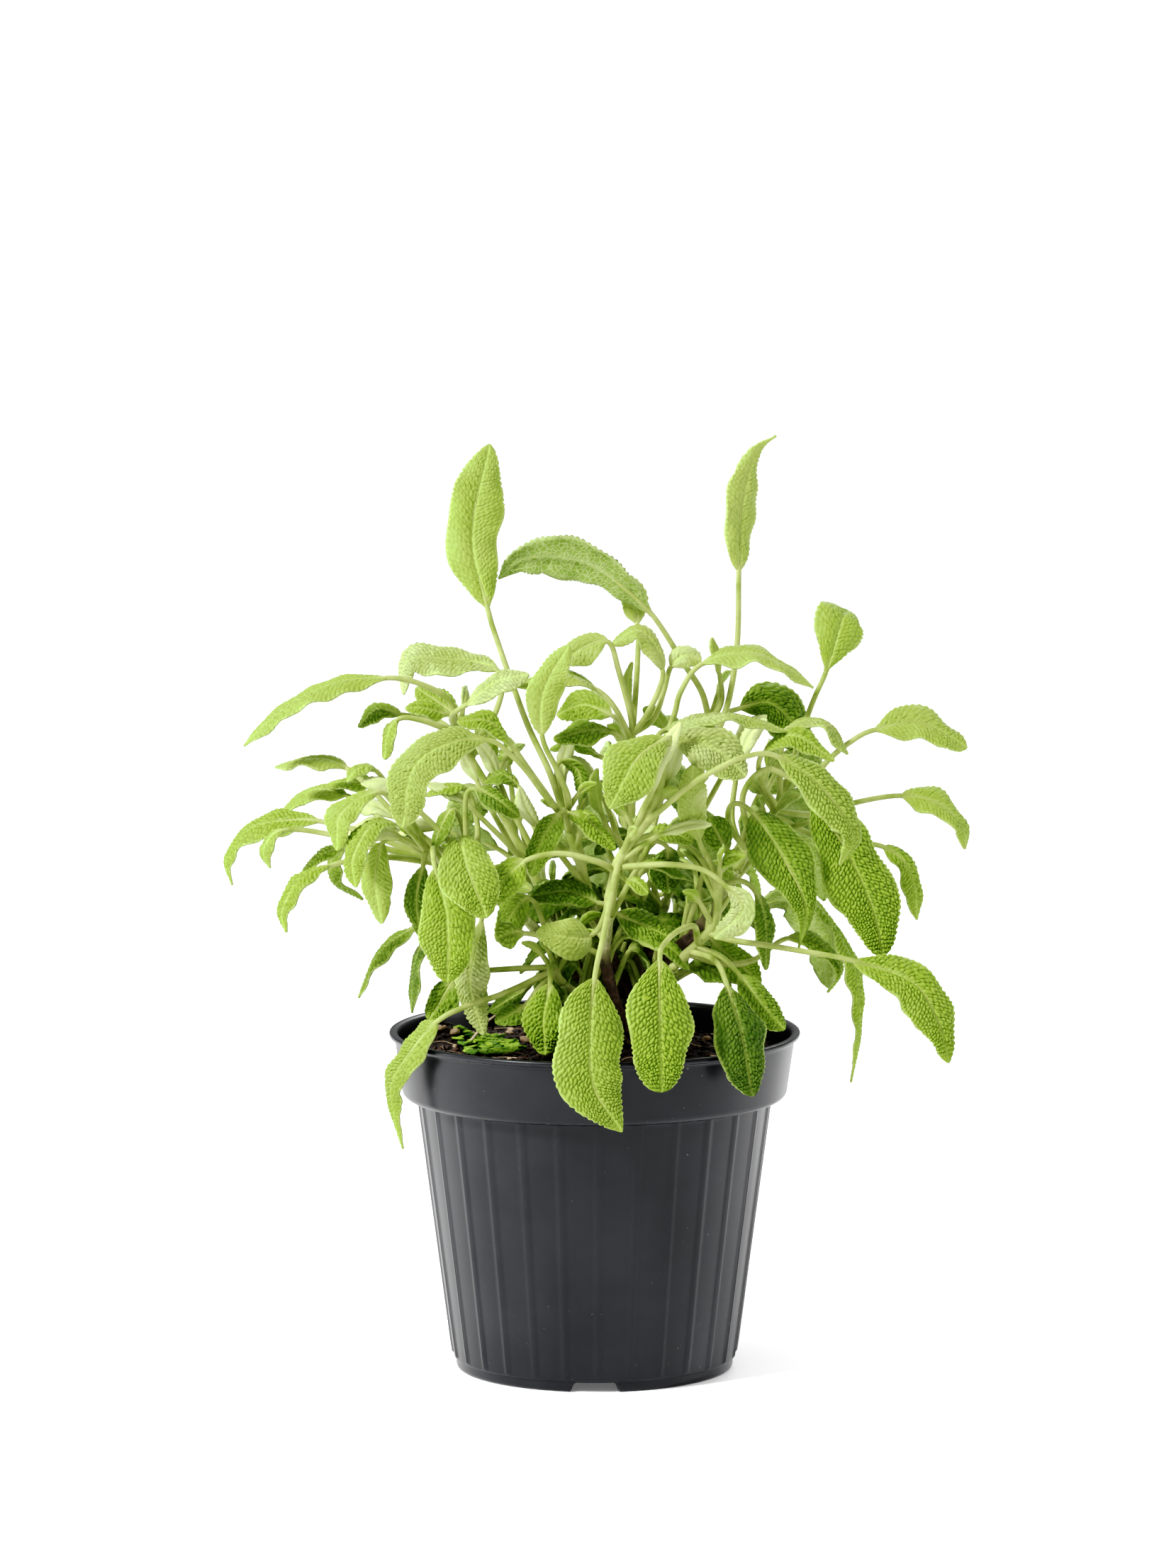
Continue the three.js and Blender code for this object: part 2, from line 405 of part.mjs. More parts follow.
// The normal of a blade that is turned by `turn` degrees from the side that it is seen from.
function facing(tangent, middle, turn, toward) {
  const front = across(toward, tangent);
  const outward = vec(middle.x, middle.y, 0).normalize().multiplyScalar(0.5).add(vec(0, 0, 1));
  const other = front.clone().cross(tangent).normalize();
  if (other.dot(outward) < 0) other.negate();
  const angle = THREE.MathUtils.degToRad(turn);
  return front.multiplyScalar(Math.cos(angle)).addScaledVector(other, Math.sin(angle));
}

// A leaf in one closed piece: a six-sided stalk that runs on as the midrib of a crenate blade.
function leaf(stalk, blade, [width, turn, widest, point = TIP_POINT], toward, seed) {
  const curve = smooth([...stalk, ...blade], 8);
  const stalkCurve = curve.slice(0, stalk.length * 8 + 1);
  const bladeCurve = curve.slice(stalk.length * 8);
  const stalkSteps = Math.max(1, Math.min(3, Math.round(lengthOf(stalkCurve) / STALK_STEP)));
  const bladeSteps = Math.max(3, Math.min(6, Math.round(lengthOf(bladeCurve) / BLADE_STEP)));
  const line = [...evenly(stalkCurve, stalkSteps).slice(0, -1), ...evenly(bladeCurve, bladeSteps * 2)];
  const along = tangents(line);
  const middle = stalkSteps + bladeSteps;
  const normals = carried(along, middle, facing(along[middle], line[middle], turn, toward));
  const toothed = width > TOOTHED_FROM;
  const vertices = [];
  const place = (i, side, up) =>
    vertices.push(line[i].clone()
      .addScaledVector(along[i].clone().cross(normals[i]), side).addScaledVector(normals[i], up));

  // How far an edge at s bends from the blade's own plane, on the left (-1) or the right (1).
  const bend = (s, half, hand) =>
    half * (hand * RIPPLE * Math.sin(seed * 2.4 + s * 9) - FOLD);
  const edge = (i, s, hand, out) => {
    const half = halfWidth(s, width, widest, point);
    const tooth = out * Math.min(TOOTH_DEPTH, 0.2 * half);
    return [hand * (half + tooth), bend(s, half, hand)];
  };

  const rings = [];
  for (let i = 0; i <= stalkSteps; i++) {
    rings.push(vertices.length);
    const radius = THREE.MathUtils.lerp(STALK_RADIUS_ROOT, STALK_RADIUS_TOP, i / stalkSteps);
    for (const degrees of [150, 90, 30, -30, -90, -150]) {
      const angle = THREE.MathUtils.degToRad(degrees);
      place(i, radius * Math.cos(angle), radius * Math.sin(angle));
    }
  }
  const teeth = [];
  for (let k = 1; k <= bladeSteps; k++) {
    const odd = stalkSteps + 2 * k - 1;
    const oddAt = (2 * k - 1) / (2 * bladeSteps);
    teeth.push(vertices.length);
    if (toothed) {
      for (const hand of [-1, 1]) {
        const [side, up] = edge(odd, oddAt, hand, 1);
        place(odd, side, up + BLADE_HALF_THICKNESS);
        place(odd, side, up - BLADE_HALF_THICKNESS);
      }
    }
    const i = odd + 1;
    const s = k / bladeSteps;
    const out = k === bladeSteps ? 0 : toothed || k % 2 ? -1 : 1;
    const [left, leftUp] = edge(i, s, -1, out);
    const [right, rightUp] = edge(i, s, 1, out);
    rings.push(vertices.length);
    place(i, left, leftUp + BLADE_HALF_THICKNESS);
    place(i, 0, BLADE_HALF_THICKNESS);
    place(i, right, rightUp + BLADE_HALF_THICKNESS);
    place(i, right, rightUp - BLADE_HALF_THICKNESS);
    place(i, 0, -BLADE_HALF_THICKNESS - 0.6 * STALK_RADIUS_TOP * (1 - s));
    place(i, left, leftUp - BLADE_HALF_THICKNESS);
  }

  const faces = caps(rings[0], rings[rings.length - 1], 6);
  for (let i = 0; i < stalkSteps; i++) faces.push(...between(rings[i], rings[i + 1], 6));
  for (let k = 0; k < bladeSteps; k++) {
    const a = rings[stalkSteps + k];
    const b = rings[stalkSteps + k + 1];
    if (!toothed) {
      faces.push(...slabSides(a, b));
      continue;
    }
    const [leftTop, leftLow, rightTop, rightLow] = [0, 1, 2, 3].map((n) => teeth[k] + n);
    for (const [edgeAt, rib, tooth] of [[0, 1, leftTop], [3, 4, rightLow]]) {
      faces.push([a + edgeAt, tooth, a + rib], [tooth, b + rib, a + rib], [tooth, b + edgeAt, b + rib]);
    }
    for (const [rib, edgeAt, tooth] of [[1, 2, rightTop], [4, 5, leftLow]]) {
      faces.push([a + rib, b + rib, tooth], [b + rib, b + edgeAt, tooth], [a + rib, tooth, a + edgeAt]);
    }
    for (const [first, next, tooth, other] of [[2, 3, rightTop, rightLow], [5, 0, leftLow, leftTop]]) {
      faces.push([a + first, tooth, other], [a + first, other, a + next]);
      faces.push([tooth, b + first, b + next], [tooth, b + next, other]);
    }
  }
  return solid(vertices, faces);
}

// Plain blade sides, split by the same diagonals on both faces.
function slabSides(a, b) {
  const faces = [];
  for (let from = 0; from < 6; from++) {
    const to = (from + 1) % 6;
    if (from % 3 === 1) faces.push([a + from, b + from, a + to], [b + from, b + to, a + to]);
    else faces.push([a + from, b + from, b + to], [a + from, b + to, a + to]);
  }
  return faces;
}

// The stalk with its root moved to the middle of the stem.
function rooted(stalk, stemLine) {
  const nearest = stemLine.reduce((a, b) => (b.distanceTo(stalk[0]) < a.distanceTo(stalk[0]) ? b : a));
  return [nearest.clone(), ...stalk.slice(1)];
}

function stemPiece(points, radiusStart, radiusEnd) {
  const start = points[0].clone();
  const ahead = points[1].clone().sub(start).normalize();
  return limb([start.addScaledVector(ahead, STEM_GAP), ...points.slice(1)], radiusStart, radiusEnd);
}

function shoot([, stem, radiusStart, radiusEnd, leaves], order) {
  const points = stem.map(seen);
  const stemLine = smooth(points, 8).slice(6);
  const blades = leaves.map(([stalk, blade, ...form], j) => (
    leaf(rooted(stalk.map(seen), stemLine), blade.map(seen), form, TOWARD_EYE, order * 31 + j)));
  return whole(fuse([stemPiece(points, radiusStart, radiusEnd), ...blades]));
}

// A far-side shoot: leaves go round its stem by turns to the left and right, low ones further out.
function farShoot([, stem, radiusStart, radiusEnd, count, farthest, seed]) {
  const points = stem.map(seen);
  const stemLine = smooth(points, 8);
  const heading = Math.atan2(points[2].y, points[2].x);
  const blades = [];
  for (let j = 0; j < count; j++) {
    const height = j / (count - 1);
    const root = stemLine[Math.round((0.35 + 0.65 * height) * (stemLine.length - 1))];
    const azimuth = heading + (j % 2 ? 1 : -1) * (0.95 - 0.55 * height) * (0.75 + 0.25 * draw(seed + j));
    const out = vec(Math.cos(azimuth), Math.sin(azimuth), 0);
    const reach = farthest - 20 * height + 5 * draw(seed + j + 40);
    const rise = 6 + 22 * height + 4 * draw(seed + j + 80);
    const droop = 20 - 22 * height + 5 * draw(seed + j + 120);
    const at = (far, up) => root.clone().addScaledVector(out, far).add(vec(0, 0, up));
    const blade = [
      at(0.42 * reach, rise), at(0.7 * reach, rise + 3),
      at(0.92 * reach, rise - 0.35 * droop), at(reach, rise - droop)];
    const stalk = [root.clone(), at(0.18 * reach, 0.6 * rise)];
    blades.push(leaf(stalk, blade, [11 + 2 * draw(seed + j + 160), 62, 0.5], out, seed + j));
  }
  return whole(fuse([stemPiece(points, radiusStart, radiusEnd), ...blades]));
}

// A closed solid turned round the Z axis, from a profile of [radius, height] that starts and ends on it.
function turned(profile, sides) {
  const outline = profile.map(([r, z]) => new THREE.Vector2(r, z));
  const geometry = new THREE.LatheGeometry(outline, sides).rotateX(Math.PI / 2);
  return fromGeometry(geometry);
}

function fromGeometry(geometry) {
  const bare = geometry.clone();
  bare.deleteAttribute("normal");
  bare.deleteAttribute("uv");
  const merged = mergeVertices(bare, 1e-3);
  const at = merged.attributes.position;
  const vertices = Array.from({ length: at.count }, (_, i) => vec(at.getX(i), at.getY(i), at.getZ(i)));
  const faces = [];
  for (let i = 0; i < merged.index.count; i += 3) {
    const face = [merged.index.getX(i), merged.index.getX(i + 1), merged.index.getX(i + 2)];
    if (new Set(face).size === 3) faces.push(face);
  }
  return solid(vertices, faces);
}

function rib(degrees) {
  const half = RIB_WIDTH / 2;
  const rows = [[BODY_FOOT + 0.4, BODY_RADIUS_LOW], [BAND_LOW - 0.3, BODY_RADIUS_TOP]];
  const vertices = rows.flatMap(([z, radius]) => [
    vec(radius - 0.5, -half, z), vec(radius + RIB_PROUD, -0.3 * half, z),
    vec(radius + RIB_PROUD, 0.3 * half, z), vec(radius - 0.5, half, z)]);
  const turn = THREE.MathUtils.degToRad(degrees);
  vertices.forEach((p) => p.applyAxisAngle(vec(0, 0, 1), turn));
  return solid(vertices, [...between(0, 4, 4), ...caps(0, 4, 4)]);
}

// A cutter for one foot notch, which widens at its lower corners.
function notch(degrees) {
  const shape = new THREE.Shape();
  const half = NOTCH_WIDTH / 2;
  shape.moveTo(-half - 1.2, -1).lineTo(half + 1.2, -1).lineTo(half + 1.2, 0).lineTo(half, 1.2);
  shape.lineTo(half, FLOOR_UNDER - 0.1).lineTo(-half, FLOOR_UNDER - 0.1);
  shape.lineTo(-half, 1.2).lineTo(-half - 1.2, 0);
  const cutter = new THREE.ExtrudeGeometry(shape, { depth: 12, bevelEnabled: false });
  cutter.rotateX(Math.PI / 2).translate(0, 46, 0).rotateZ(THREE.MathUtils.degToRad(degrees - 90));
  return fromGeometry(cutter);
}

function makePot() {
  const foot = BODY_FOOT;
  const profile = [
    [0, FLOOR_UNDER], [38.2, FLOOR_UNDER], [38.2, 0], [39.4, 0], [40.5, 1.2], [40.6, foot - 0.2],
    [BODY_RADIUS_LOW, foot], [BODY_RADIUS_TOP, BAND_LOW], [BAND_RADIUS_LOW - 1, BAND_LOW + 0.5],
    [BAND_RADIUS_LOW, BAND_LOW + 2.4], [BAND_RADIUS_TOP, 97.2],
    [LIP_RADIUS, 98], [LIP_RADIUS, 99.2], [LIP_RADIUS - 0.7, POT_HEIGHT],
    [BAND_RADIUS_TOP - WALL, 97], [BAND_RADIUS_LOW - WALL, BAND_LOW + 3.2],
    [BODY_RADIUS_TOP - WALL, BAND_LOW + 1.2], [BODY_RADIUS_LOW - WALL, FLOOR_TOP], [0, FLOOR_TOP]];
  let pot = turned(profile, POT_SIDES);
  for (let k = 0; k < RIBS; k++) pot = pot.add(rib(RIB_OFFSET_DEG - 90 + (k * 360) / RIBS));
  for (let k = 0; k < NOTCHES; k++) pot = pot.subtract(notch(-90 + (k * 360) / NOTCHES));
  for (let k = 0; k < DRAIN_HOLES; k++) {
    const angle = ((k + 0.5) * 2 * Math.PI) / DRAIN_HOLES;
    const hole = new THREE.CylinderGeometry(DRAIN_RADIUS, DRAIN_RADIUS, 6, 8).rotateX(Math.PI / 2);
    pot = pot.subtract(fromGeometry(
      hole.translate(DRAIN_CIRCLE * Math.cos(angle), DRAIN_CIRCLE * Math.sin(angle), FLOOR_UNDER)));
  }
  return pot;
}

// Soil height at a place: low waves, and one mound at the left rim.
function soilHeight(x, y) {
  const fromMound = ((x - MOUND_X) ** 2 + (y - MOUND_Y) ** 2) / (2 * MOUND_SPREAD ** 2);
  return SOIL_TOP + 0.7 * Math.sin(0.11 * x + 1) + 0.6 * Math.cos(0.13 * y - 0.06 * x)
    + MOUND_HEIGHT * Math.exp(-fromMound);
}

function makeSoil() {
  const gap = CLEARANCE;
  const wall = [
    [BODY_RADIUS_LOW - WALL - gap, FLOOR_TOP + gap], [BODY_RADIUS_TOP - WALL - gap, BAND_LOW + 1.3],
    [BAND_RADIUS_LOW - WALL - gap, BAND_LOW + 3.7], [BAND_RADIUS_TOP - 1.5 - WALL - gap, SOIL_TOP - 2]];
  const rings = [...wall, [50, 0], [41, 0], [28, 0], [14, 0]];
  const vertices = [vec(0, 0, FLOOR_TOP + gap)];
  rings.forEach(([radius, height]) => {
    for (let j = 0; j < SOIL_SIDES; j++) {
      const angle = (2 * Math.PI * j) / SOIL_SIDES;
      const x = radius * Math.cos(angle);
      const y = radius * Math.sin(angle);
      vertices.push(vec(x, y, height || soilHeight(x, y)));
    }
  });
  vertices.push(vec(0, 0, soilHeight(0, 0)));
  const last = 1 + (rings.length - 1) * SOIL_SIDES;
  const faces = rings.slice(1).flatMap((_, i) => (
    between(1 + i * SOIL_SIDES, 1 + (i + 1) * SOIL_SIDES, SOIL_SIDES)));
  for (let j = 0; j < SOIL_SIDES; j++) {
    const k = (j + 1) % SOIL_SIDES;
    faces.push([0, 1 + j, 1 + k], [vertices.length - 1, last + k, last + j]);
  }
  const root = seen(WOOD[0][0][0]);
  const depth = 40;
  const hole = new THREE.CylinderGeometry(TRUNK_HOLE_RADIUS, TRUNK_HOLE_RADIUS, depth, 12);
  hole.rotateX(Math.PI / 2).translate(root.x, root.y, TRUNK_HOLE_BOTTOM + depth / 2);
  return solid(vertices, faces).subtract(fromGeometry(hole));
}

function mesh(name, made, color, roughness) {
  const { vertProperties, triVerts } = made.getMesh();
  const geometry = new THREE.BufferGeometry();
  geometry.setAttribute("position", new THREE.BufferAttribute(new Float32Array(vertProperties), 3));
  geometry.setIndex(new THREE.BufferAttribute(new Uint32Array(triVerts), 1));
  geometry.computeVertexNormals();
  const material = new THREE.MeshStandardMaterial({ color, roughness, flatShading: true });
  const out = new THREE.Mesh(geometry, material);
  out.name = name;
  return out;
}

const sage = new THREE.Group();
sage.add(mesh("pot", makePot(), "#33373e", 0.35));
sage.add(mesh("soil", makeSoil(), "#20150d", 0.95));
const branches = WOOD.map(([points, start, end]) => limb(points.map(seen), start, end));
sage.add(mesh("woody_crown", fuse(branches), "#4a3826", 0.85));
SHOOTS.forEach((row, order) => sage.add(mesh(row[0], shoot(row, order), "#7fae3f", 0.7)));
FAR_SHOOTS.forEach((row) => sage.add(mesh(row[0], farShoot(row), "#7fae3f", 0.7)));

export default sage;
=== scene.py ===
"""Potted sage: fine leaves, stems, bark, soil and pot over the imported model, with light and camera."""
import itertools
import math
import bpy
import numpy as np
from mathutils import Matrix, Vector


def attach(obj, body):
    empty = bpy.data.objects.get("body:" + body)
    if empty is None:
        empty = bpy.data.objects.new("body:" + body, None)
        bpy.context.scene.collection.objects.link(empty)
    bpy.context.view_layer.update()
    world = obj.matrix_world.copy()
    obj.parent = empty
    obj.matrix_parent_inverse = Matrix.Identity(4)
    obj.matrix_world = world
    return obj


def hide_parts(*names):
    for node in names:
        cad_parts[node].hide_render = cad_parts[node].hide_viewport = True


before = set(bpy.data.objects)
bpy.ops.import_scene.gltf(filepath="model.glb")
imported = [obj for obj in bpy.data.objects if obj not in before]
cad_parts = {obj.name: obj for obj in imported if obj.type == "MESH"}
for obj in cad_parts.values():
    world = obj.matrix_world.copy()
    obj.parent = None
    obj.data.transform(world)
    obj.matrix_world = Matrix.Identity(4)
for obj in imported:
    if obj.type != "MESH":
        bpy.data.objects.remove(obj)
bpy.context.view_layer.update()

MM = 0.001

# Camera and the eye that the sight-line coordinates below are read from.
CAMERA_PLACE = (-0.00195, -2.2108, 0.4551)
CAMERA_PITCH_DEG = 7.3
CAMERA_LENS_MM = 175.93
CAMERA_SIGHT = 200
EYE = np.array((-2.0, -2211.0, 455.0))
TOWARD_EYE = np.array((0.0, -0.992, 0.127))

# Pot: a rib's flank is in shares of its width, and a notch's flank in millimetres from its side
POT_COLUMNS_PER_RIB = 10
POT_HEIGHT = 99.6
LIP_RADIUS = 60
FLOOR_UNDER = 3
FLOOR_TOP = 4.2
BODY_FOOT = 3.3
BODY_RADIUS_LOW = 41.3
BODY_RADIUS_TOP = 51.4
BAND_LOW = 80
BAND_UNDER = 80.3
BAND_TOP = 97.2
BAND_CORNER = 2.3
BAND_RADIUS_LOW = 56.3
BAND_RADIUS_TOP = 58.4
RIBS = 28
RIB_PROUD = 0.55
RIB_WIDTH = 1.1
RIB_FLANK = (0.28, 0.75)
RIB_OFFSET_DEG = 1
FOOT_RADIUS = 40
NOTCH_TOP = 2.88
NOTCH_WIDTH = 12.2
NOTCH_FLANK = (-0.2, 0.9)
NOTCH_EVERY_DEG = 120
# Outlines of the pot's foot ring, lip and inside as (radius, height)
POT_FOOT = [
    (38.2, 2.7), (38.2, 0.4), (38.4, 0.08), (38.8, 0.0), (39.4, 0.0), (39.9, 0.1), (40.35, 0.5),
    (40.5, 1.0), (40.55, 1.8), (40.6, 2.9), (40.62, 3.15), (40.9, 3.25), (41.25, 3.4),
    (BODY_RADIUS_LOW, 3.7),
]
POT_LIP = [
    (58.45, 97.3), (58.8, 97.75), (59.5, 97.95), (59.85, 98.2), (LIP_RADIUS, 98.6), (LIP_RADIUS, 99.0),
    (59.85, 99.35), (59.5, 99.55), (59.0, POT_HEIGHT), (58.2, 99.5), (57.6, 99.1), (57.25, 98.2),
]
POT_INSIDE = [
    (57.1, 96.5), (55.5, 86.0), (55.1, 83.5), (54.2, 82.2), (50.6, 81.4), (50.2, 80.6), (45.2, 42),
    (40.3, 5.2), (39.6, 4.35), (38, FLOOR_TOP), (0.0, FLOOR_TOP),
]

# Soil: its side as (radius, height), and its clumps and grains as (size, height, share that slopes, seed)
SOIL_SIDE = [(39.5, 4.7), (49.7, 81.2), (54.6, 83.9), (55.7, 91.0)]
SOIL_RADIUS = 55.9
SOIL_EDGE = 50
SOIL_EDGE_DROP = 0.9
SOIL_SINK = 0.7
SOIL_COLUMNS = 220
SOIL_RINGS = 78
SOIL_CLUMPS = [(3.1, 0.8, 0.6, 5), (1.3, 0.35, 0.5, 9)]
SOIL_TOP = 93
MOUND_X = -46
MOUND_Y = 10
MOUND_HEIGHT = 7
MOUND_SPREAD = 7

# Bark: the steps and sides of its mesh, and the ring-shaped scars of old leaves
BARK_STEP = 0.8
BARK_SIDES = 20
SCAR_EVERY = 9
SCAR_HEIGHT = 0.16

# Green stems, which swell at each pair of leaves and begin a little off the bark
STEM_GAP = 0.8
STEM_STEP = 0.9
STEM_SIDES = 14
NODE_EVERY = 11
NODE_REACH = 1.4
NODE_SWELL = 0.12

# Leaf stalks and midribs: the midrib ends, tapers and sinks in by shares
STALK_RADIUS_ROOT = 1.0
STALK_RADIUS_TOP = 0.75
STALK_STEP = 1.4
STALK_SIDES = 10
MIDRIB_END = 0.92
MIDRIB_TAPER = 0.75
MIDRIB_SINK = 0.55
MIDRIB_EVERY = 4
MIDRIB_DEPTH = 0.45
MIDRIB_WIDTHS = (0.6, 0.35)

# Blades: folds are shares of the half width, heights and lengths are in millimetres
BLADE_HALF_THICKNESS = 0.3
EDGE_THINNING = 0.45
LEAST_HALF_WIDTH = 0.35
BASE_POINT = 0.78
# Where a usual blade is widest, as a share of its length, and the point of its tip
USUAL_SHAPE = [0.5, 0.55]
FOLD = 0.16
ARCH = 0.1
RIPPLE = 0.1
RUFFLE = 0.6
WAVE = 0.35
UNEVEN = 0.12
TOOTH_PITCH = 1.5
TOOTH_DEPTH = 0.65
VEIN_SWEEP = 0.75
VEIN_DEPTH = 0.22
EDGE_FUZZ = 0.7
# Blades are grids of pebbles: (size of a pebble, rows and columns in each), near the camera and far from it
NEAR_GRID = (1.3, 4)
FAR_GRID = (1.8, 3)
PEBBLE_HEIGHT = 0.78
PEBBLE_ROUNDNESS = 0.6
PEBBLES_BETWEEN_VEINS = 3
UNDER_PILLOW = 0.25
ROW_SWAY = 0.15
LANE_SWAY = 0.2
# The shares of pebbles that are joined along and across the blade, and the height where they join
JOINED = (0.1, 0.06)
JOINT_HEIGHT = 0.8
YOUNG_LEAVES = 5
INNER_LEAVES = 58

# Colours, as red, green and blue in hexadecimal, some on a scale from 0 to 1
# The dark end of this ramp is partly the leaves' own darker green and partly painted shade for leaves in
# shade.
LEAF_TONES_AND_SHADE = [(0.0, "2a4104"), (0.45, "6f8c29"), (0.85, "7b8f3f"), (1.0, "aab675")]
# Painted shade: the dark green mixed into the valleys between the pebbles and along the side veins.
VALLEY_SHADE = "2a4a06"
MIDRIB_COLOUR = "a8bf62"
FUZZ = "c6d680"
SHEEN = "dbe8a0"
# The underside's dark end is likewise partly painted shade for leaves in shade.
UNDER_TONES_AND_SHADE = [(0.0, "4c681f"), (1.0, "849e48")]
UNDER_VEIN = "c3d58a"
PETIOLE_PALE = "98a35b"
PETIOLE_GREEN = "6c8033"
OLD_BARK = [(0.3, "2c231a"), (0.55, "5a4a39"), (0.75, "8c7b62")]
YOUNG_BARK = [(0.3, "6f7c39"), (0.7, "b5c079")]
POT_DARK = "111215"
POT_GREY = "191a1d"
POT_DUST = "8b8678"
SOIL_TONES = [(0.3, "0c0704"), (0.55, "20140d"), (0.78, "493426")]
CRUMB_COLOURS = ("100a06", "3d2a1e")
CHIP_COLOURS = ("4c3722", "b59a78")
MOSS_COLOURS = ("3c640f", "8bb030")
TWIG_COLOURS = ("3c2a1e", "b3a083")
FLOOR_COLOURS = ("fbfbfb", "ffffff")

# Loose things on the soil: chips and the moss patch are placed by [x, y], twigs in sight-line coordinates
SEED = 7
CRUMBS = 1300
CRUMB_REACH = 54
CHIPS = [(-46, 5), (-41, 6), (-36, 20), (-20, 24), (22, 6), (33, 20)]
CHIP_SIZE = 2.8
SMALL_CHIPS = 26
SMALL_CHIP_SIZES = (0.8, 1.7)
CHIP_REACH = 53
MOSS_LOBES = 190
MOSS_SIDES = 12
MOSS_SIZES = (0.9, 2.0)
MOSS_MIDDLE = (-31, 9)
MOSS_REACH = (9.5, 17)
# A lobe's outline, from its underside to its top, as (radius, height) for a size of 1
MOSS_PROFILE = [(0.9, -0.12), (1, 0.02), (0.95, 0.2), (0.6, 0.26), (0.25, 0.12)]
TWIGS = [
    [[-38, 94, 4], [-29.8, 103.2, 0], [-20.5, 106.7, -4]],
    [[-14, 96, 14], [-4, 98, 18], [5, 97.5, 20]],
]
TWIG_RADIUS = 0.5
FIBRES = 70
FIBRE_REACH = 50
FIBRE_RADII = (0.14, 0.3)
INSIDE_RADIUS = 54.5

# Light: the strength of the sky at the horizon and overhead, and of the floor's glow near by and far off
SKY_LOW = 0.12
SKY_HIGH = 1.1
FLOOR_REACH = 25.0
FLOOR_GLOW = 0.1
FAR_GLOW = 0.6
GLOW_DISTANCES = (0.8, 6.0)
# Lamps: name, place, size and power
LAMPS = [
    ("key", (-1.2, -0.95, 1.35), (0.3, 0.3), 62),
    ("left", (-1.3, 0.25, 0.4), (0.4, 1.0), 6.5),
    ("right", (1.3, 0.1, 0.4), (0.4, 1.0), 8),
    ("back", (0.6, 1.3, 1.2), (0.8, 0.6), 14),
]
LAMP_AIM = (0, 0, 0.12)
# Tone curve of the picture, in linear light: deep shade goes deeper and the middle tones rise.
TONES = [
    (0.012, 0.0024), (0.036, 0.022), (0.09, 0.105), (0.18, 0.235), (0.35, 0.43), (0.58, 0.61), (0.75, 0.76),
]

# Woody branches: [sight-line points [across, up, depth], radius at the start, radius at the tip].
WOOD = [
  [[[10, 76, -3], [10.5, 90, -3], [11, 98, -3], [12, 112, -3], [12, 127, -1], [12, 136, 0]], 2.9, 1.6],
  [[[10.5, 94, -3], [3, 103, -4], [-3, 113, -5], [-8, 119, -6], [-14, 126, -8], [-21, 133, -10]], 1.9, 1.4],
  [[[11, 98, -3], [16, 110, -5], [20, 120, -8], [27, 126, -10], [33, 133, -9], [38, 140, -7],
    [41, 146, -6]], 2, 1.5],
  [[[11.5, 104, -3], [8, 115, -5], [2, 128, -7], [-1, 136, -8]], 1.7, 1.4],
  [[[10.5, 97, -4], [6, 108, -14], [3, 121, -20], [4, 133, -22]], 1.7, 1.5],
  [[[12, 113, -3], [17, 126, 5], [21, 138, 11]], 1.6, 1.4],
  [[[10.5, 96, -2], [0, 110, 3], [-8, 124, 5], [-14, 137, 6]], 1.7, 1.4],
  [[[10.5, 95, -4], [2, 103, -12], [-9, 113, -20]], 1.6, 1.3],
  [[[11, 99, -4], [16, 108, -12], [22, 117, -19]], 1.7, 1.4],
  [[[10.5, 98, -1], [2, 108, 10], [-6, 120, 18]], 1.7, 1.4],
  [[[11, 100, -1], [10, 112, 12], [8, 124, 21]], 1.7, 1.4],
  [[[11, 99, -1], [18, 110, 8], [25, 122, 16]], 1.7, 1.4],
]
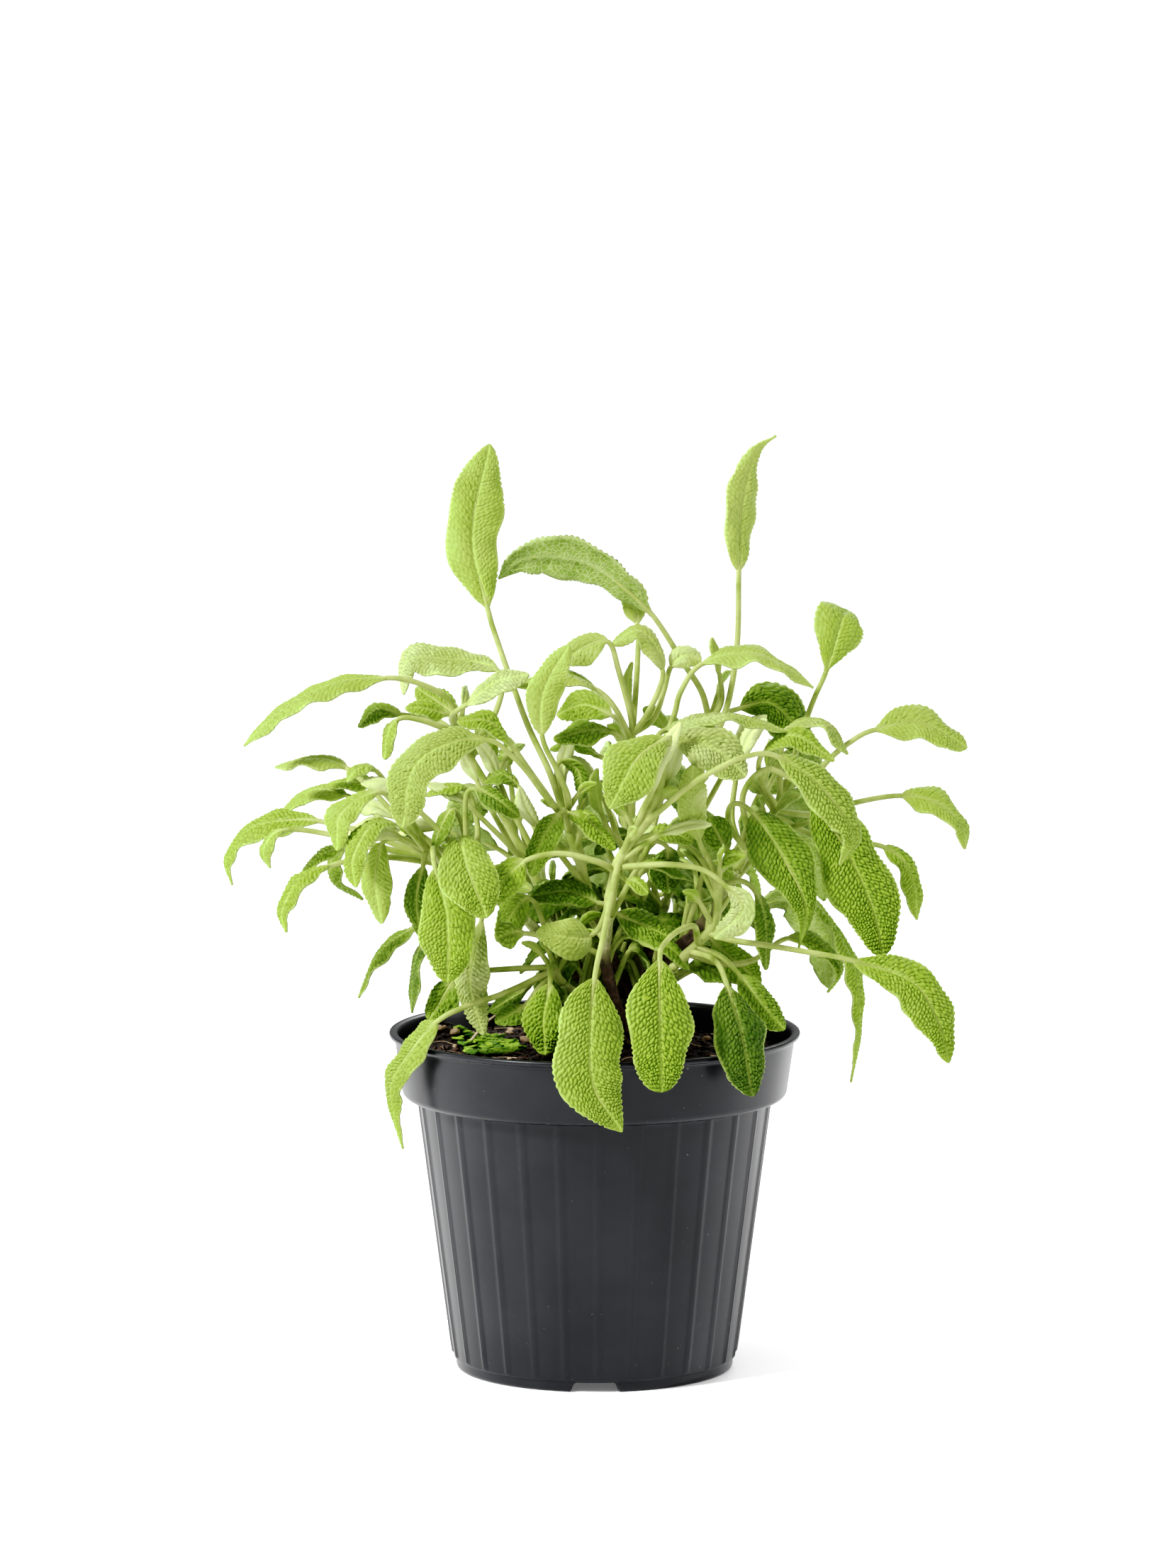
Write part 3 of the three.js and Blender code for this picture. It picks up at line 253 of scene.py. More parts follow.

# Leafy shoots: [name, kinds of the leaves, stem points, radius at the start, radius at the tip, leaves].
# A leaf is [stalk points, blade points, blade width, turn in degrees, widest place, point]. A point of 0.4
# gives a round tip and 1 a drawn-out one. What a leaf leaves out is as in USUAL_SHAPE.
# The dark kinds d and k in these strings partly paint shade on leaves that sit in shade or show their
# shaded side.
SHOOTS = [
  ["shoot_left_low", "lmmssmmmndmsmmgdkdddn",
   [[-21, 133, -10], [-30, 139, -12], [-40, 145, -13], [-48, 149.5, -12]], 1.5, 1.2, [
    [[[-44, 147.3, -12.5], [-58, 163, -4]],
      [[-72, 176.5, 2], [-82, 179, 4], [-93, 176.8, 6]], 9, 67, 0.45, 0.8],
    [[[-43, 146.7, -12.5], [-54, 162, -13]],
      [[-63.5, 175.8, -15], [-69, 176.3, -18], [-72, 172.5, -20]], 6, 55, 0.45],
    [[[-44, 147.2, -12], [-54, 160, 2]],
      [[-63, 171, 10], [-70, 172.5, 14], [-77.5, 171.8, 18]], 7, 60, 0.45],
    [[[-46, 148.4, -12], [-60, 160, 6]],
      [[-72, 168.5, 14], [-83, 169.3, 18], [-94, 161.2, 22]], 9.5, 65, 0.45, 0.8],
    [[[-46, 148.4, -12.5], [-55, 163, -24]],
      [[-63, 169.5, -31], [-74, 163, -36], [-75, 152.3, -37]], 9.5, 40],
    [[[-47.5, 149.3, -12], [-65, 157, -8]],
      [[-80, 161, -4], [-90, 161.3, -2], [-100, 158.5, 0], [-107, 150, 2],
       [-105.8, 142.2, 3]], 11, 57, 0.45, 0.9],
    [[[-47, 149, -12.3], [-72, 156, -14]],
      [[-90, 158.5, -15], [-96, 153, -16], [-94.5, 147.2, -16]], 6, 60],
    [[[-47.5, 149.2, -12.5], [-63, 150.5, -18]],
      [[-77, 148, -22], [-86, 143.5, -26], [-91, 135, -28], [-90, 128.2, -29]], 8.5, 55, 0.45, 0.8],
    [[[-47, 149, -12], [-63, 153, 0]], [[-72, 153, 6], [-79, 151.5, 9], [-85, 146.3, 12]], 6, 58],
    [[[-46, 148.4, -11.5], [-60, 157, 6]],
      [[-71, 157, 16], [-76, 150, 20], [-75, 143, 21], [-67.5, 137.8, 20]], 8, 68],
    [[[-46.5, 148.8, -13], [-53, 157, -26]],
      [[-57, 160, -31], [-65, 159.5, -37], [-70.5, 150, -41], [-69.5, 141.5, -42]], 9, 40],
    [[[-47, 149, -13], [-55, 155, -21]],
      [[-61.5, 155, -24], [-64, 144, -27], [-62, 130.8, -28]], 9, 25, 0.45],
    [[[-44, 147, -14], [-47, 153, -28]],
      [[-46.5, 147.5, -37], [-43, 132, -43], [-43, 113.5, -43]], 17.5, 8],
    [[[-38, 144, -14], [-39.5, 156, -26]],
      [[-39.5, 156.5, -38], [-37, 147, -46], [-31.5, 132.5, -50]], 17, 5, 0.45],
    [[[-38, 143.8, -13], [-33, 140, -20]],
      [[-33, 132, -25], [-36.5, 115, -30], [-32.5, 97.8, -31]], 10, 20],
    [[[-43, 146, -12], [-46, 137, -5]],
      [[-51.5, 130.8, -3], [-60, 124.5, -2], [-65, 117.5, -1], [-69, 109, 0]], 8, 72, 0.45, 0.9],
    [[[-41, 145.5, -13], [-47, 136, -17]],
      [[-50, 126, -20], [-52.5, 116, -23], [-53.5, 104.5, -24]], 8, 66, 0.45, 0.9],
    [[[-46, 148.4, -12.5], [-49, 152, -18]],
      [[-50, 148, -23], [-52, 138, -27], [-51, 127, -28]], 8, 25, 0.45],
    [[[-38, 144, -12], [-38, 157, -9]],
      [[-41, 164.5, -10], [-44.5, 160, -14], [-46.5, 153, -17]], 7, 52, 0.45],
    [[[-37, 143.3, -12], [-37.5, 158, -16], [-37.5, 168, -18]],
      [[-35, 170.5, -20], [-29, 167.5, -22], [-22, 162.2, -24]], 8, 42, 0.45],
    [[[-36, 142.5, -12], [-34, 158, -1]],
      [[-37, 170, 0], [-43, 170.8, -2], [-49.5, 168.5, -3]], 6, 60, 0.45],
  ]],
  ["shoot_left_tip", "sdmmgmgs",
   [[-14, 137, 6], [-20, 150, 7], [-30, 169, 6], [-37.5, 182, 5], [-41, 189, 4]], 1.4, 1, [
    [[[-40.5, 187.5, 4.5], [-42, 196, 3], [-50, 201, 1]],
      [[-60, 203, -1], [-75, 201, -4], [-88, 195.5, -6], [-102, 183, -8]], 12, 65, 0.45, 0.8],
    [[[-40, 186, 5], [-46, 190.5, 7]], [[-56, 192.2, 9], [-63, 193.5, 10], [-68.8, 188.6, 11]], 8, 50],
    [[[-40, 187, 4.5], [-39, 191, 10]], [[-40, 192, 14], [-46, 196.5, 18], [-52, 200, 22]], 9.5, 25],
    [[[-40.5, 188, 4], [-41, 191.5, 0]],
      [[-43, 192.5, -3], [-49, 194, -6], [-55, 194, -8]], 6.5, 40, 0.45],
    [[[-36, 179.5, 5.5], [-28, 195, 13]],
      [[-28, 205, 18], [-42, 208.5, 24], [-54, 208, 27], [-55.5, 198, 28]], 12, 42],
    [[[-40, 186, 4], [-50, 190.5, 1]], [[-57, 191, 0], [-60.5, 185.5, -1], [-61, 179, -2]], 7, 58],
    [[[-40.5, 188, 3.5], [-41.5, 192, -4]],
      [[-37.5, 195, -10], [-29, 201.5, -14], [-19, 203.8, -15]], 9, 43],
    [[[-31, 170.5, 6], [-31, 173, 10]], [[-29.5, 177, 13], [-31, 184, 14], [-33, 190, 14]], 6, 50],
  ]],
  ["shoot_centre_left", "slmgdmdd",
   [[-1, 136, -8], [-2.5, 142, -9], [-5, 151, -10], [-8.5, 161, -11], [-9.5, 165, -11]], 1.5, 1.3, [
    [[[-9, 163, -11], [-13, 175, -8], [-19, 188, -5], [-23.5, 200, -3], [-28, 213, 0]],
      [[-31, 223, 2], [-35.5, 245, 4], [-30.4, 271, 2]], 16.5, 0, 0.5, 0.62],
    [[[-9, 162, -11.5], [-7.5, 167, -14], [-11, 176, -17]],
      [[-15.3, 186, -19], [-14.5, 200, -21], [-7.5, 212.5, -21]], 10.5, 18, 0.45],
    [[[-8.7, 161, -11.5], [-12, 166, -17], [-19, 176, -24]],
      [[-24, 183, -27], [-31, 190.5, -29], [-40, 190, -30]], 8, 50],
    [[[-8.7, 161.5, -12], [-14, 168, -25], [-20, 176, -33], [-25, 181, -37]],
      [[-30.5, 184.7, -40], [-42, 184, -44], [-53, 176, -47], [-56, 159, -49]], 15, 28, 0.55],
    [[[-7.5, 158, -11.5], [-8.5, 163, -17]],
      [[-10, 163.5, -21], [-15.5, 155, -25], [-18.5, 144.7, -26]], 9.5, 25, 0.45],
    [[[-8.5, 160.5, -11.5], [-9, 164, -13]],
      [[-8, 163.5, -16], [-1, 160.5, -18], [6, 152.5, -19]], 8, 45, 0.45],
    [[[-9, 163, -10.5], [-11, 175, -7]], [[-10, 178.5, -5], [-5, 176, -4], [-3.5, 168, -4]], 6, 42],
    [[[-5, 150.5, -9.5], [-16, 157, -6], [-20, 167, -5]],
      [[-22, 171, -4], [-27, 174.5, -3], [-32, 172, -2]], 7, 58],
  ]],
  ["shoot_centre_top", "lllllllmdml",
   [[12, 136, 0], [11, 150, 0], [10.5, 170, 1], [11, 189, 1]], 1.5, 1, [
    [[[10.8, 186, 1], [10.5, 192, 0], [7, 205, -3]],
      [[4, 213.5, -5], [-3, 212, -6], [-10, 207, -7]], 9.5, 25],
    [[[11, 187, 1], [14.5, 191, 0], [18.5, 199, 0]],
      [[19.8, 205, 0], [17, 212, 0], [12, 216.5, 0], [5, 212.5, 0]], 8, 48, 0.45],
    [[[11, 186, 1.5], [17, 191, 2], [20, 199, 3]], [[22, 206, 3], [26, 209.5, 3], [31, 208, 3]], 8, 30],
    [[[11, 188, 1]], [[10.5, 195, 1.5], [9.8, 202, 2], [10.9, 207.6, 2.5]], 4.5, 55],
    [[[11, 187.5, 1.5], [12, 200, 9], [12.6, 212, 14]],
      [[12.4, 218.5, 16], [11, 227, 17.5], [6, 233, 18]], 9, 20],
    [[[10.7, 177, 1], [19, 183, -5], [23, 192, -7], [25, 199, -8]],
      [[31, 207, -8], [45, 210.5, -8], [53, 207.5, -8], [63.5, 200, -8]], 11, 63, 0.45, 0.9],
    [[[11, 185, 0.8], [6, 194, -3]], [[1, 199.3, -4], [-8, 204, -6], [-23, 200.3, -8]], 9, 64, 0.45],
    [[[10.9, 185, 1.5], [8, 189, 6]], [[5, 192, 10], [-3, 195, 14], [-11, 192, 17]], 10, 25],
    [[[10.7, 177, 0.8], [8, 184, -3]], [[5, 187, -6], [-2, 187.5, -9], [-12, 185, -11]], 9, 40],
    [[[10.5, 172, 1], [6, 178, 3]], [[1.5, 180, 5], [-6, 184.5, 7], [-13, 182, 8]], 7, 66],
    [[[11, 152, 0], [5, 157, -4]], [[2.2, 163, -6], [0, 171, -8], [0.8, 176.5, -8]], 6, 50],
  ]],
  ["shoot_front", "hghgmmmdmdgld",
   [[4, 133, -22], [5, 141, -25], [7, 149, -28], [10, 154, -29], [14, 160, -30], [18, 168, -31],
    [20, 178, -32]], 1.7, 1.3, [
    [[[19.8, 177, -32], [21.5, 183, -35]],
      [[21, 185.5, -38], [12, 179, -44], [4.3, 164.6, -48]], 16.5, 20, 0.5, 0.7],
    [[[19.8, 177, -31.5], [21, 183, -29]], [[23, 185, -27], [34, 182.5, -28], [44, 174, -29]], 14.5, 22],
    [[[14, 160, -30], [20, 165, -34], [27, 171, -37], [35, 176, -38], [44, 180, -37]],
      [[53, 180, -35], [67, 170, -33], [75, 157, -31], [71.3, 148, -30]], 12, 30, 0.45, 0.8],
    [[[20, 177, -31], [18.5, 183, -26]],
      [[20, 187.5, -21], [36, 191.8, -17], [56.3, 187.3, -14]], 11, 76, 0.45, 0.9],
    [[[7, 149, -28.5], [5, 140, -38], [2.5, 127, -49]],
      [[0, 115, -56], [-1.5, 97, -63], [0, 82, -65], [8, 69.3, -65]], 21, 10, 0.45, 0.8],
    [[[6, 146, -27.5], [1, 149, -31], [-10, 151.5, -32]],
      [[-20, 149.5, -33], [-26, 144, -34], [-29, 137, -34]], 11, 25],
    [[[6.5, 147, -27.5]], [[8.8, 144, -30], [12, 143, -32], [15.5, 139.5, -33]], 5.5, 40],
    [[[4.6, 138, -24], [4.5, 136, -21]], [[6, 134, -19], [13, 131, -18], [22, 126.5, -18]], 10, 30],
    [[[9, 152.5, -28.5], [12, 155, -25]], [[16, 157, -22], [22, 157.5, -20], [28.5, 154.5, -19]], 7, 40],
    [[[8, 151, -28], [16, 155, -19]], [[21, 153.5, -15], [21, 147, -14], [21.5, 139.7, -14]], 10.5, 20],
    [[[6.5, 147, -28], [14, 148, -32], [22, 148.2, -34], [31, 146.8, -35]],
      [[38, 142, -35], [43, 135, -35], [35, 126.3, -35]], 8, 30],
    [[[4.2, 135, -23], [2, 131, -28]],
      [[-1, 127.5, -31], [-8, 127, -35], [-17, 128.3, -37]], 12.5, 15, 0.35],
    [[[4.6, 138, -24], [4, 137, -20]],
      [[1, 137, -18], [-8, 140.5, -17], [-18.5, 139, -17]], 10, 38, 0.45],
  ]],
  ["shoot_front_low", "mdnddmm",
   [[-9, 113, -20], [-11, 115.5, -22.5], [-12, 121, -24]], 1.3, 1.2, [
    [[[-11.5, 117, -23], [-26, 110.5, -31], [-38, 106.3, -38]],
      [[-46, 102, -40], [-54, 93, -34], [-59, 84, -28], [-58.5, 74, -26],
       [-56.2, 64.2, -26]], 10, 48, 0.35, 0.9],
    [[[-11.5, 118, -23.5], [-25, 117.5, -22], [-36, 116.5, -21]],
      [[-41, 114, -21], [-45, 108, -22], [-48.5, 102.3, -23]], 9.5, 20, 0.45],
    [[[-11.5, 118, -24], [-13, 118, -30]],
      [[-13, 113.5, -34], [-15, 103, -37], [-14.5, 92, -38]], 12, 12],
    [[[-11.5, 117, -22.5], [-17, 115, -16]],
      [[-20, 111.5, -13], [-26, 108, -10], [-31, 105, -8]], 8, 40, 0.45],
    [[[-11.5, 116.5, -24], [-17, 111, -28]],
      [[-20, 107, -30], [-25, 104, -32], [-29, 101.5, -33]], 7, 30],
    [[[-12, 120, -24], [-10, 125, -27], [-15, 127, -29]],
      [[-20, 128, -30], [-24, 128, -31], [-28.5, 126, -32]], 9, 20, 0.65],
    [[[-12, 120.5, -24], [-15, 131, -22]],
      [[-18.5, 138, -21], [-24, 134, -21], [-28.5, 125.5, -21]], 10, 30, 0.45],
  ]],
  ["shoot_right", "ldmdnmmmkd",
   [[22, 117, -19], [27, 122, -20], [33, 128, -20], [35.5, 133, -21], [36, 140, -22],
    [35.5, 146, -22]], 1.4, 1.2, [
    [[[35.5, 145.5, -22], [33, 150, -26]],
      [[30.5, 155, -28], [28.5, 166, -30.5], [28.5, 177.5, -31.5]], 9.5, 12],
    [[[35.5, 145, -21.5], [38.5, 148.5, -17]],
      [[38.5, 151.5, -17], [36, 157, -18], [33, 162, -19]], 10, 20],
    [[[35.6, 144, -22.5]], [[36.5, 147, -25], [39, 150.5, -28], [44, 150.8, -29]], 5.5, 50],
    [[[35.8, 141, -21.5], [42, 143.5, -17]],
      [[47, 140, -15], [50, 129, -14], [50, 117.2, -14]], 8, 48, 0.45],
    [[[30, 125, -20.3], [29, 130, -31], [24, 128.5, -42], [20, 124.5, -51]],
      [[19, 120.5, -56], [19, 102, -62], [19.5, 81, -63]], 19, 10, 0.5, 0.42],
    [[[33, 128, -20.5], [40, 126, -25], [50, 124.5, -28], [62, 122.5, -29]],
      [[75, 120, -30], [92, 114, -31], [100, 103, -31], [103.5, 89.7, -31]], 14.5, 25, 0.5, 0.62],
    [[[27, 122, -20], [37, 119, -15], [46, 120, -10]],
      [[56, 126.5, -5], [66, 124.5, -1], [72, 117.5, 1], [68, 110.5, 2]], 8, 58, 0.45],
    [[[31, 126, -19.7], [32, 128, -12]], [[34, 126, -8], [42, 119, -6], [48.5, 113, -5]], 11, 25],
    [[[28, 123, -20.5], [35, 120, -32]], [[38.5, 113, -40], [43, 97, -48], [46.2, 79.8, -50]], 17, 28],
    [[[29, 124, -20], [37, 121, -23]], [[42, 116, -26], [48, 108, -30], [55.5, 99.5, -31]], 10, 25],
  ]],
  ["shoot_right_top", "ssgmsmdnm",
   [[41, 146, -6], [45, 153, -5], [50, 160, -3], [54.5, 168, 0]], 1.5, 1.2, [
    [[[54, 167, -0.5], [57, 176, 2], [60.5, 188, 3], [64, 197.5, 4]],
      [[67, 204.3, 5], [69.5, 213, 5], [72, 221, 9], [73.5, 222.5, 16]], 15, 8, 0.62, 0.5],
    [[[54, 167, -0.5], [62, 172, 0], [68, 179, 1], [74, 184, 2]],
      [[81, 187.7, 2], [95, 190, 3], [108.2, 182.3, 4]], 12.5, 35, 0.5, 0.6],
    [[[54, 167, -0.8], [54, 179, -1]], [[56, 188.3, -2], [66, 190, -3], [73.6, 180.5, -3]], 8, 68, 0.45],
    [[[53, 165.5, -1.5], [48, 174, -7]],
      [[49, 181, -12], [58, 186, -15], [69.7, 178.7, -17]], 8, 48, 0.45],
    [[[52.5, 164.5, -1.5], [65, 163, 4], [76, 166.5, 7]],
      [[89, 168.5, 9], [100, 166.5, 10], [107, 159.5, 10.5], [107.8, 152.8, 11]], 11, 48, 0.45, 0.7],
    [[[51.5, 163, -2], [66, 156, 3]], [[84, 153.5, 5], [92, 146, 6], [94, 132, 7]], 9, 45, 0.45, 0.7],
    [[[44.5, 152, -5.5], [39, 160, -10], [40, 166, -14]],
      [[46, 163.5, -18], [55, 150, -23], [61.5, 136, -25], [59.5, 123.3, -25]], 16, 12, 0.33, 1.5],
    [[[45.5, 154, -5], [43, 168, -8], [49, 176, -11], [56, 174, -13]],
      [[63, 168, -14], [70, 158, -15], [76, 147, -16], [82, 132, -17], [84, 121, -17]], 20, 12],
    [[[48, 157.5, -4], [55, 149, -5]],
      [[62, 140, -5], [69, 131, -5], [75.5, 118, -5], [77.5, 104, -5], [75, 84, -5]], 9, 68, 0.4, 0.9],
  ]],
  ["shoot_back_tall", "dllds",
   [[21, 138, 11], [25, 151, 13], [29, 168, 13], [32.5, 186, 12], [33.5, 193, 12]], 1.5, 1.2, [
    [[[33.2, 191, 12], [31, 199, 12], [26, 207, 11]],
      [[17, 221, 9], [8, 230, 8], [-3, 237.5, 8], [-20, 238, 8], [-28, 232, 8]], 14, 150, 0.55, 0.85],
    [[[31, 178, 12.6], [38, 193, 12], [41.3, 212, 11]],
      [[41.8, 234, 10.5], [42.5, 253, 10], [46, 268, 10], [52.5, 273.4, 10]], 10, 28, 0.4, 1.2],
    [[[33, 189, 12], [36.8, 196, 12]], [[36.3, 204, 11.5], [35.5, 209.5, 11], [34, 214.7, 11]], 4.5, 50],
    [[[32.8, 187, 12.5], [37, 192, 17]],
      [[42, 194, 20], [50, 196, 22], [57, 190, 23], [61, 180, 23]], 14.5, 20],
    [[[31, 177, 12.6], [25, 184, 10]], [[21, 188, 9], [18, 192, 9], [14, 194, 9]], 7, 35],
  ]],
]

# Far-side shoots: [name, stem points, radius at the start, radius at the tip, leaf count, reach, seed].
FAR_SHOOTS = [
  ["shoot_back_left", [[-6, 120, 18], [-13, 133, 25], [-24, 150, 31]], 1.5, 1.2, 8, 42, 3],
  ["shoot_back_centre", [[8, 124, 21], [9, 140, 32], [10, 158, 40]], 1.5, 1.2, 8, 36, 11],
  ["shoot_back_right", [[25, 122, 16], [34, 136, 24], [46, 150, 31]], 1.5, 1.2, 8, 42, 23],
]


# For each kind of leaf its tone, from dark 0 to pale 1, and how rough its surface is, which also sets the
# painted
# shade in its valleys: p pale, g grey, l light, h half light, s smooth, m middle, n netted, d dark and k
# darkest.
# The dark kinds d and k are partly the leaf's own darker green and partly painted shade, for leaves that
# sit in shade or are seen from their shaded side.
LEAF_KINDS = {
    "p": (1.0, 0.3),
    "g": (0.87, 0.78),
    "l": (0.8, 0.35),
    "h": (0.68, 0.85),
    "s": (0.62, 0.45),
    "m": (0.5, 0.9),
    "n": (0.42, 1.1),
    "d": (0.25, 1.0),
    "k": (0.0, 0.9),
}

# Pale young leaves, folded upwards beside the stems, in rows like those of SHOOTS.
YOUNG = {
  "shoot_front": [
    [[[12, 157, -29], [16, 166, -31]], [[17, 171, -31.5], [20, 181, -32], [25, 190, -31]], 5, 20],
    [[[14, 160, -30], [19, 167, -28.5]], [[21, 172, -28], [24, 181, -27], [26, 186, -26]], 4.5, 35],
    [[[10, 154, -29], [14, 164, -32]], [[16.5, 169, -34], [18, 176, -35], [22, 183, -36]], 4, 10],
    [[[10, 154, -29], [17, 162, -27]], [[21, 166, -26], [27, 171, -25], [33, 174, -24]], 4.5, 40],
    [[[7, 149, -28], [14, 154, -31]], [[19, 157, -32], [27, 160, -33], [34, 160, -34]], 4, 40],
  ],
  "shoot_left_tip": [
    [[[-15, 139, 6], [-23, 152, 9], [-31, 166, 10]],
      [[-34, 172, 11], [-38, 180, 12], [-39, 187, 12]], 4.5, 30],
    [[[-15, 139, 6], [-18, 152, 3], [-25, 166, 2]],
      [[-27, 171, 1], [-31, 180, 0], [-36, 186, -2]], 4.5, 30],
    [[[-17, 144, 6], [-25, 154, 2], [-33, 162, 0]],
      [[-37, 166, -1], [-43, 170, -2], [-49, 172, -3]], 5, 50],
  ],
  "shoot_centre_left": [
    [[[-2.5, 142, -9], [-4, 152, -6], [-8, 166, -4]],
      [[-9, 172, -3], [-9, 180, -2], [-6, 187, -2]], 4.5, 20],
    [[[-1, 136, -8], [-6, 146, -13], [-13, 155, -15]],
      [[-16, 159, -16], [-20, 165, -17], [-22, 171, -17]], 5, 30],
  ],
  "shoot_centre_top": [
    [[[12, 140, 0], [15, 152, -3], [19, 166, -5]], [[21, 172, -6], [24, 181, -7], [24, 190, -8]], 5, 25],
    [[[12, 140, 0], [8, 153, 3], [4, 164, 4]], [[2, 169, 4], [-2, 176, 4], [-8, 180, 4]], 5, 35],
  ],
  "shoot_right": [
    [[[35.5, 140, -22], [31, 150, -17], [24, 156, -14]],
      [[20, 158, -13], [14, 158, -12], [9, 154, -11]], 5, 40],
  ],
  "shoot_right_top": [
    [[[45, 153, -5], [52, 158, -9], [60, 160, -12]],
      [[64, 161, -13], [70, 160, -14], [76, 156, -15]], 5, 40],
    [[[43, 150, -5.5], [40, 161, -1], [41, 173, 1]], [[42, 178, 2], [45, 186, 2], [50, 191, 2]], 5, 25],
  ],
  "shoot_left_low": [
    [[[-26, 136, -11], [-44, 152, -6]], [[-58, 162, -2], [-66, 166, 0], [-74, 165, 1]], 6, 45],
    [[[-28, 138, -12], [-45, 158, -14]], [[-56, 168, -17], [-62, 172, -18], [-68, 172, -19]], 6, 40],
    [[[-24, 135, -11], [-42, 148, -16]], [[-56, 156, -22], [-63, 158, -25], [-70, 154, -27]], 6.5, 40],
    [[[-30, 139, -12], [-46, 152, -3]], [[-58, 158, 4], [-66, 160, 7], [-73, 157, 9]], 6, 50],
    [[[-30, 139, -12], [-33, 150, -8], [-41, 157, -4]],
      [[-45, 159, -3], [-52, 160, -1], [-58, 156, 1]], 5, 50],
  ],
  "shoot_back_tall": [
    [[[25, 151, 13], [31, 163, 16], [38, 176, 18]], [[40, 181, 18], [44, 188, 18], [50, 192, 18]], 5, 30],
  ],
}


def seen(point):
    """The real place of a sight-line point [across, up, depth]."""
    across_x, up, depth = point
    scale = (depth - EYE[1]) / -EYE[1]
    return np.array((EYE[0] + scale * (across_x - EYE[0]), depth, EYE[2] + scale * (up - EYE[2])))


def draw(n):
    """A repeatable draw between -1 and 1."""
    value = math.sin(n * 12.9898) * 43758.5453
    return 2 * (value - math.floor(value)) - 1


def about(middle, spread, n):
    """A repeatable value within the spread from the middle."""
    return middle + spread * draw(n)


def level(azimuth):
    """The level direction at an azimuth."""
    return np.array((math.cos(azimuth), math.sin(azimuth), 0.0))


def unit(v):
    """The direction of v."""
    return v / np.linalg.norm(v)


def smooth(points, steps):
    """Points on a smooth curve through the given ones, with `steps` for each span."""
    p = [np.asarray(q, float) for q in points]
    p = [2 * p[0] - p[1]] + p + [2 * p[-1] - p[-2]]
    t = (np.arange(steps) / steps)[:, None]
    out = []
    for a, b, c, d in zip(p, p[1:], p[2:], p[3:]):
        square = 2 * a - 5 * b + 4 * c - d
        cube = 3 * b - a - 3 * c + d
        out.append(0.5 * (2 * b + (c - a) * t + square * t ** 2 + cube * t ** 3))
    return np.concatenate(out + [p[-2][None]])


def line_length(line):
    """The length along a line of points."""
    return float(np.linalg.norm(np.diff(line, axis=0), axis=1).sum())


def evenly(line, count):
    """The line cut into `count` equal lengths."""
    walked = np.concatenate([[0], np.cumsum(np.linalg.norm(np.diff(line, axis=0), axis=1))])
    at = np.linspace(0, walked[-1], count + 1)
    return np.stack([np.interp(at, walked, line[:, k]) for k in range(3)], 1)


def tangents(line):
    """The direction of the line at each of its points."""
    ahead = np.concatenate([line[1:], line[-1:]])
    behind = np.concatenate([line[:1], line[:-1]])
    step = ahead - behind
    return step / np.linalg.norm(step, axis=1)[:, None]


def across(v, axis):
    """The direction of v without its part along the axis."""
    return unit(v - np.dot(v, axis) * axis)


def carried(along, start, normal):
    """Normals carried along a line both ways from the one at `start`."""
    out = [None] * len(along)
    out[start] = across(normal, along[start])
    for i in range(start + 1, len(along)):
        out[i] = across(out[i - 1], along[i])
    for i in range(start - 1, -1, -1):
        out[i] = across(out[i + 1], along[i])
    return np.array(out)


def limb_normals(line):
    """Normals for a round limb, which may face any way."""
    along = tangents(line)
    upright = abs(along[0][2]) > 0.9
    return carried(along, 0, np.array((0, -1.0, 0) if upright else (0, 0, 1.0)))


def half_width(s, width, widest, point):
    """Half the width of a blade at s, from 0 at its base to 1 at its tip."""
    bent = s ** (math.log(0.5) / math.log(widest))
    drawn_out = BASE_POINT + (point - BASE_POINT) * s
    blade = 0.5 * width * np.sin(np.pi * bent).clip(0, 1) ** drawn_out
    return np.maximum(np.maximum(STALK_RADIUS_TOP * (1 - s), LEAST_HALF_WIDTH), blade)


def facing(tangent, middle, turn, toward):
    """The normal of a blade that is turned by `turn` degrees from the side that it is seen from."""
    front = across(toward, tangent)
    outward = 0.5 * unit(np.array((middle[0], middle[1], 0.0))) + np.array((0, 0, 1.0))
    other = unit(np.cross(front, tangent))
    if np.dot(other, outward) < 0:
        other = -other
    angle = math.radians(turn)
    return front * math.cos(angle) + other * math.sin(angle)


def smoothstep(low, high, x):
    """A soft step from 0 at low to 1 at high."""
    t = np.clip((x - low) / (high - low), 0, 1)
    return t * t * (3 - 2 * t)


def hash01(a, b, k):
    """A repeatable draw between 0 and 1 for each pair of a and b."""
    value = np.sin(a * 127.1 + b * 311.7 + k * 74.7) * 43758.5453
    return value - np.floor(value)


def cell_walls(a, b, seed):
    """How far each point is from the wall of its cell in a jittered lattice, in steps of the lattice."""
    base_a, base_b = np.floor(a), np.floor(b)
    nearest = np.full(a.shape, 9.0)
    second = np.full(a.shape, 9.0)
    for da in (-1, 0, 1):
        for db in (-1, 0, 1):
            ca, cb = base_a + da, base_b + db
            from_a = ca + 0.15 + 0.7 * hash01(ca, cb, seed) - a
            from_b = cb + 0.15 + 0.7 * hash01(ca, cb, seed + 7) - b
            away = np.hypot(from_a, from_b)
            closer = away < nearest
            second = np.where(closer, nearest, np.minimum(second, away))
            nearest = np.where(closer, away, nearest)
    return second - nearest


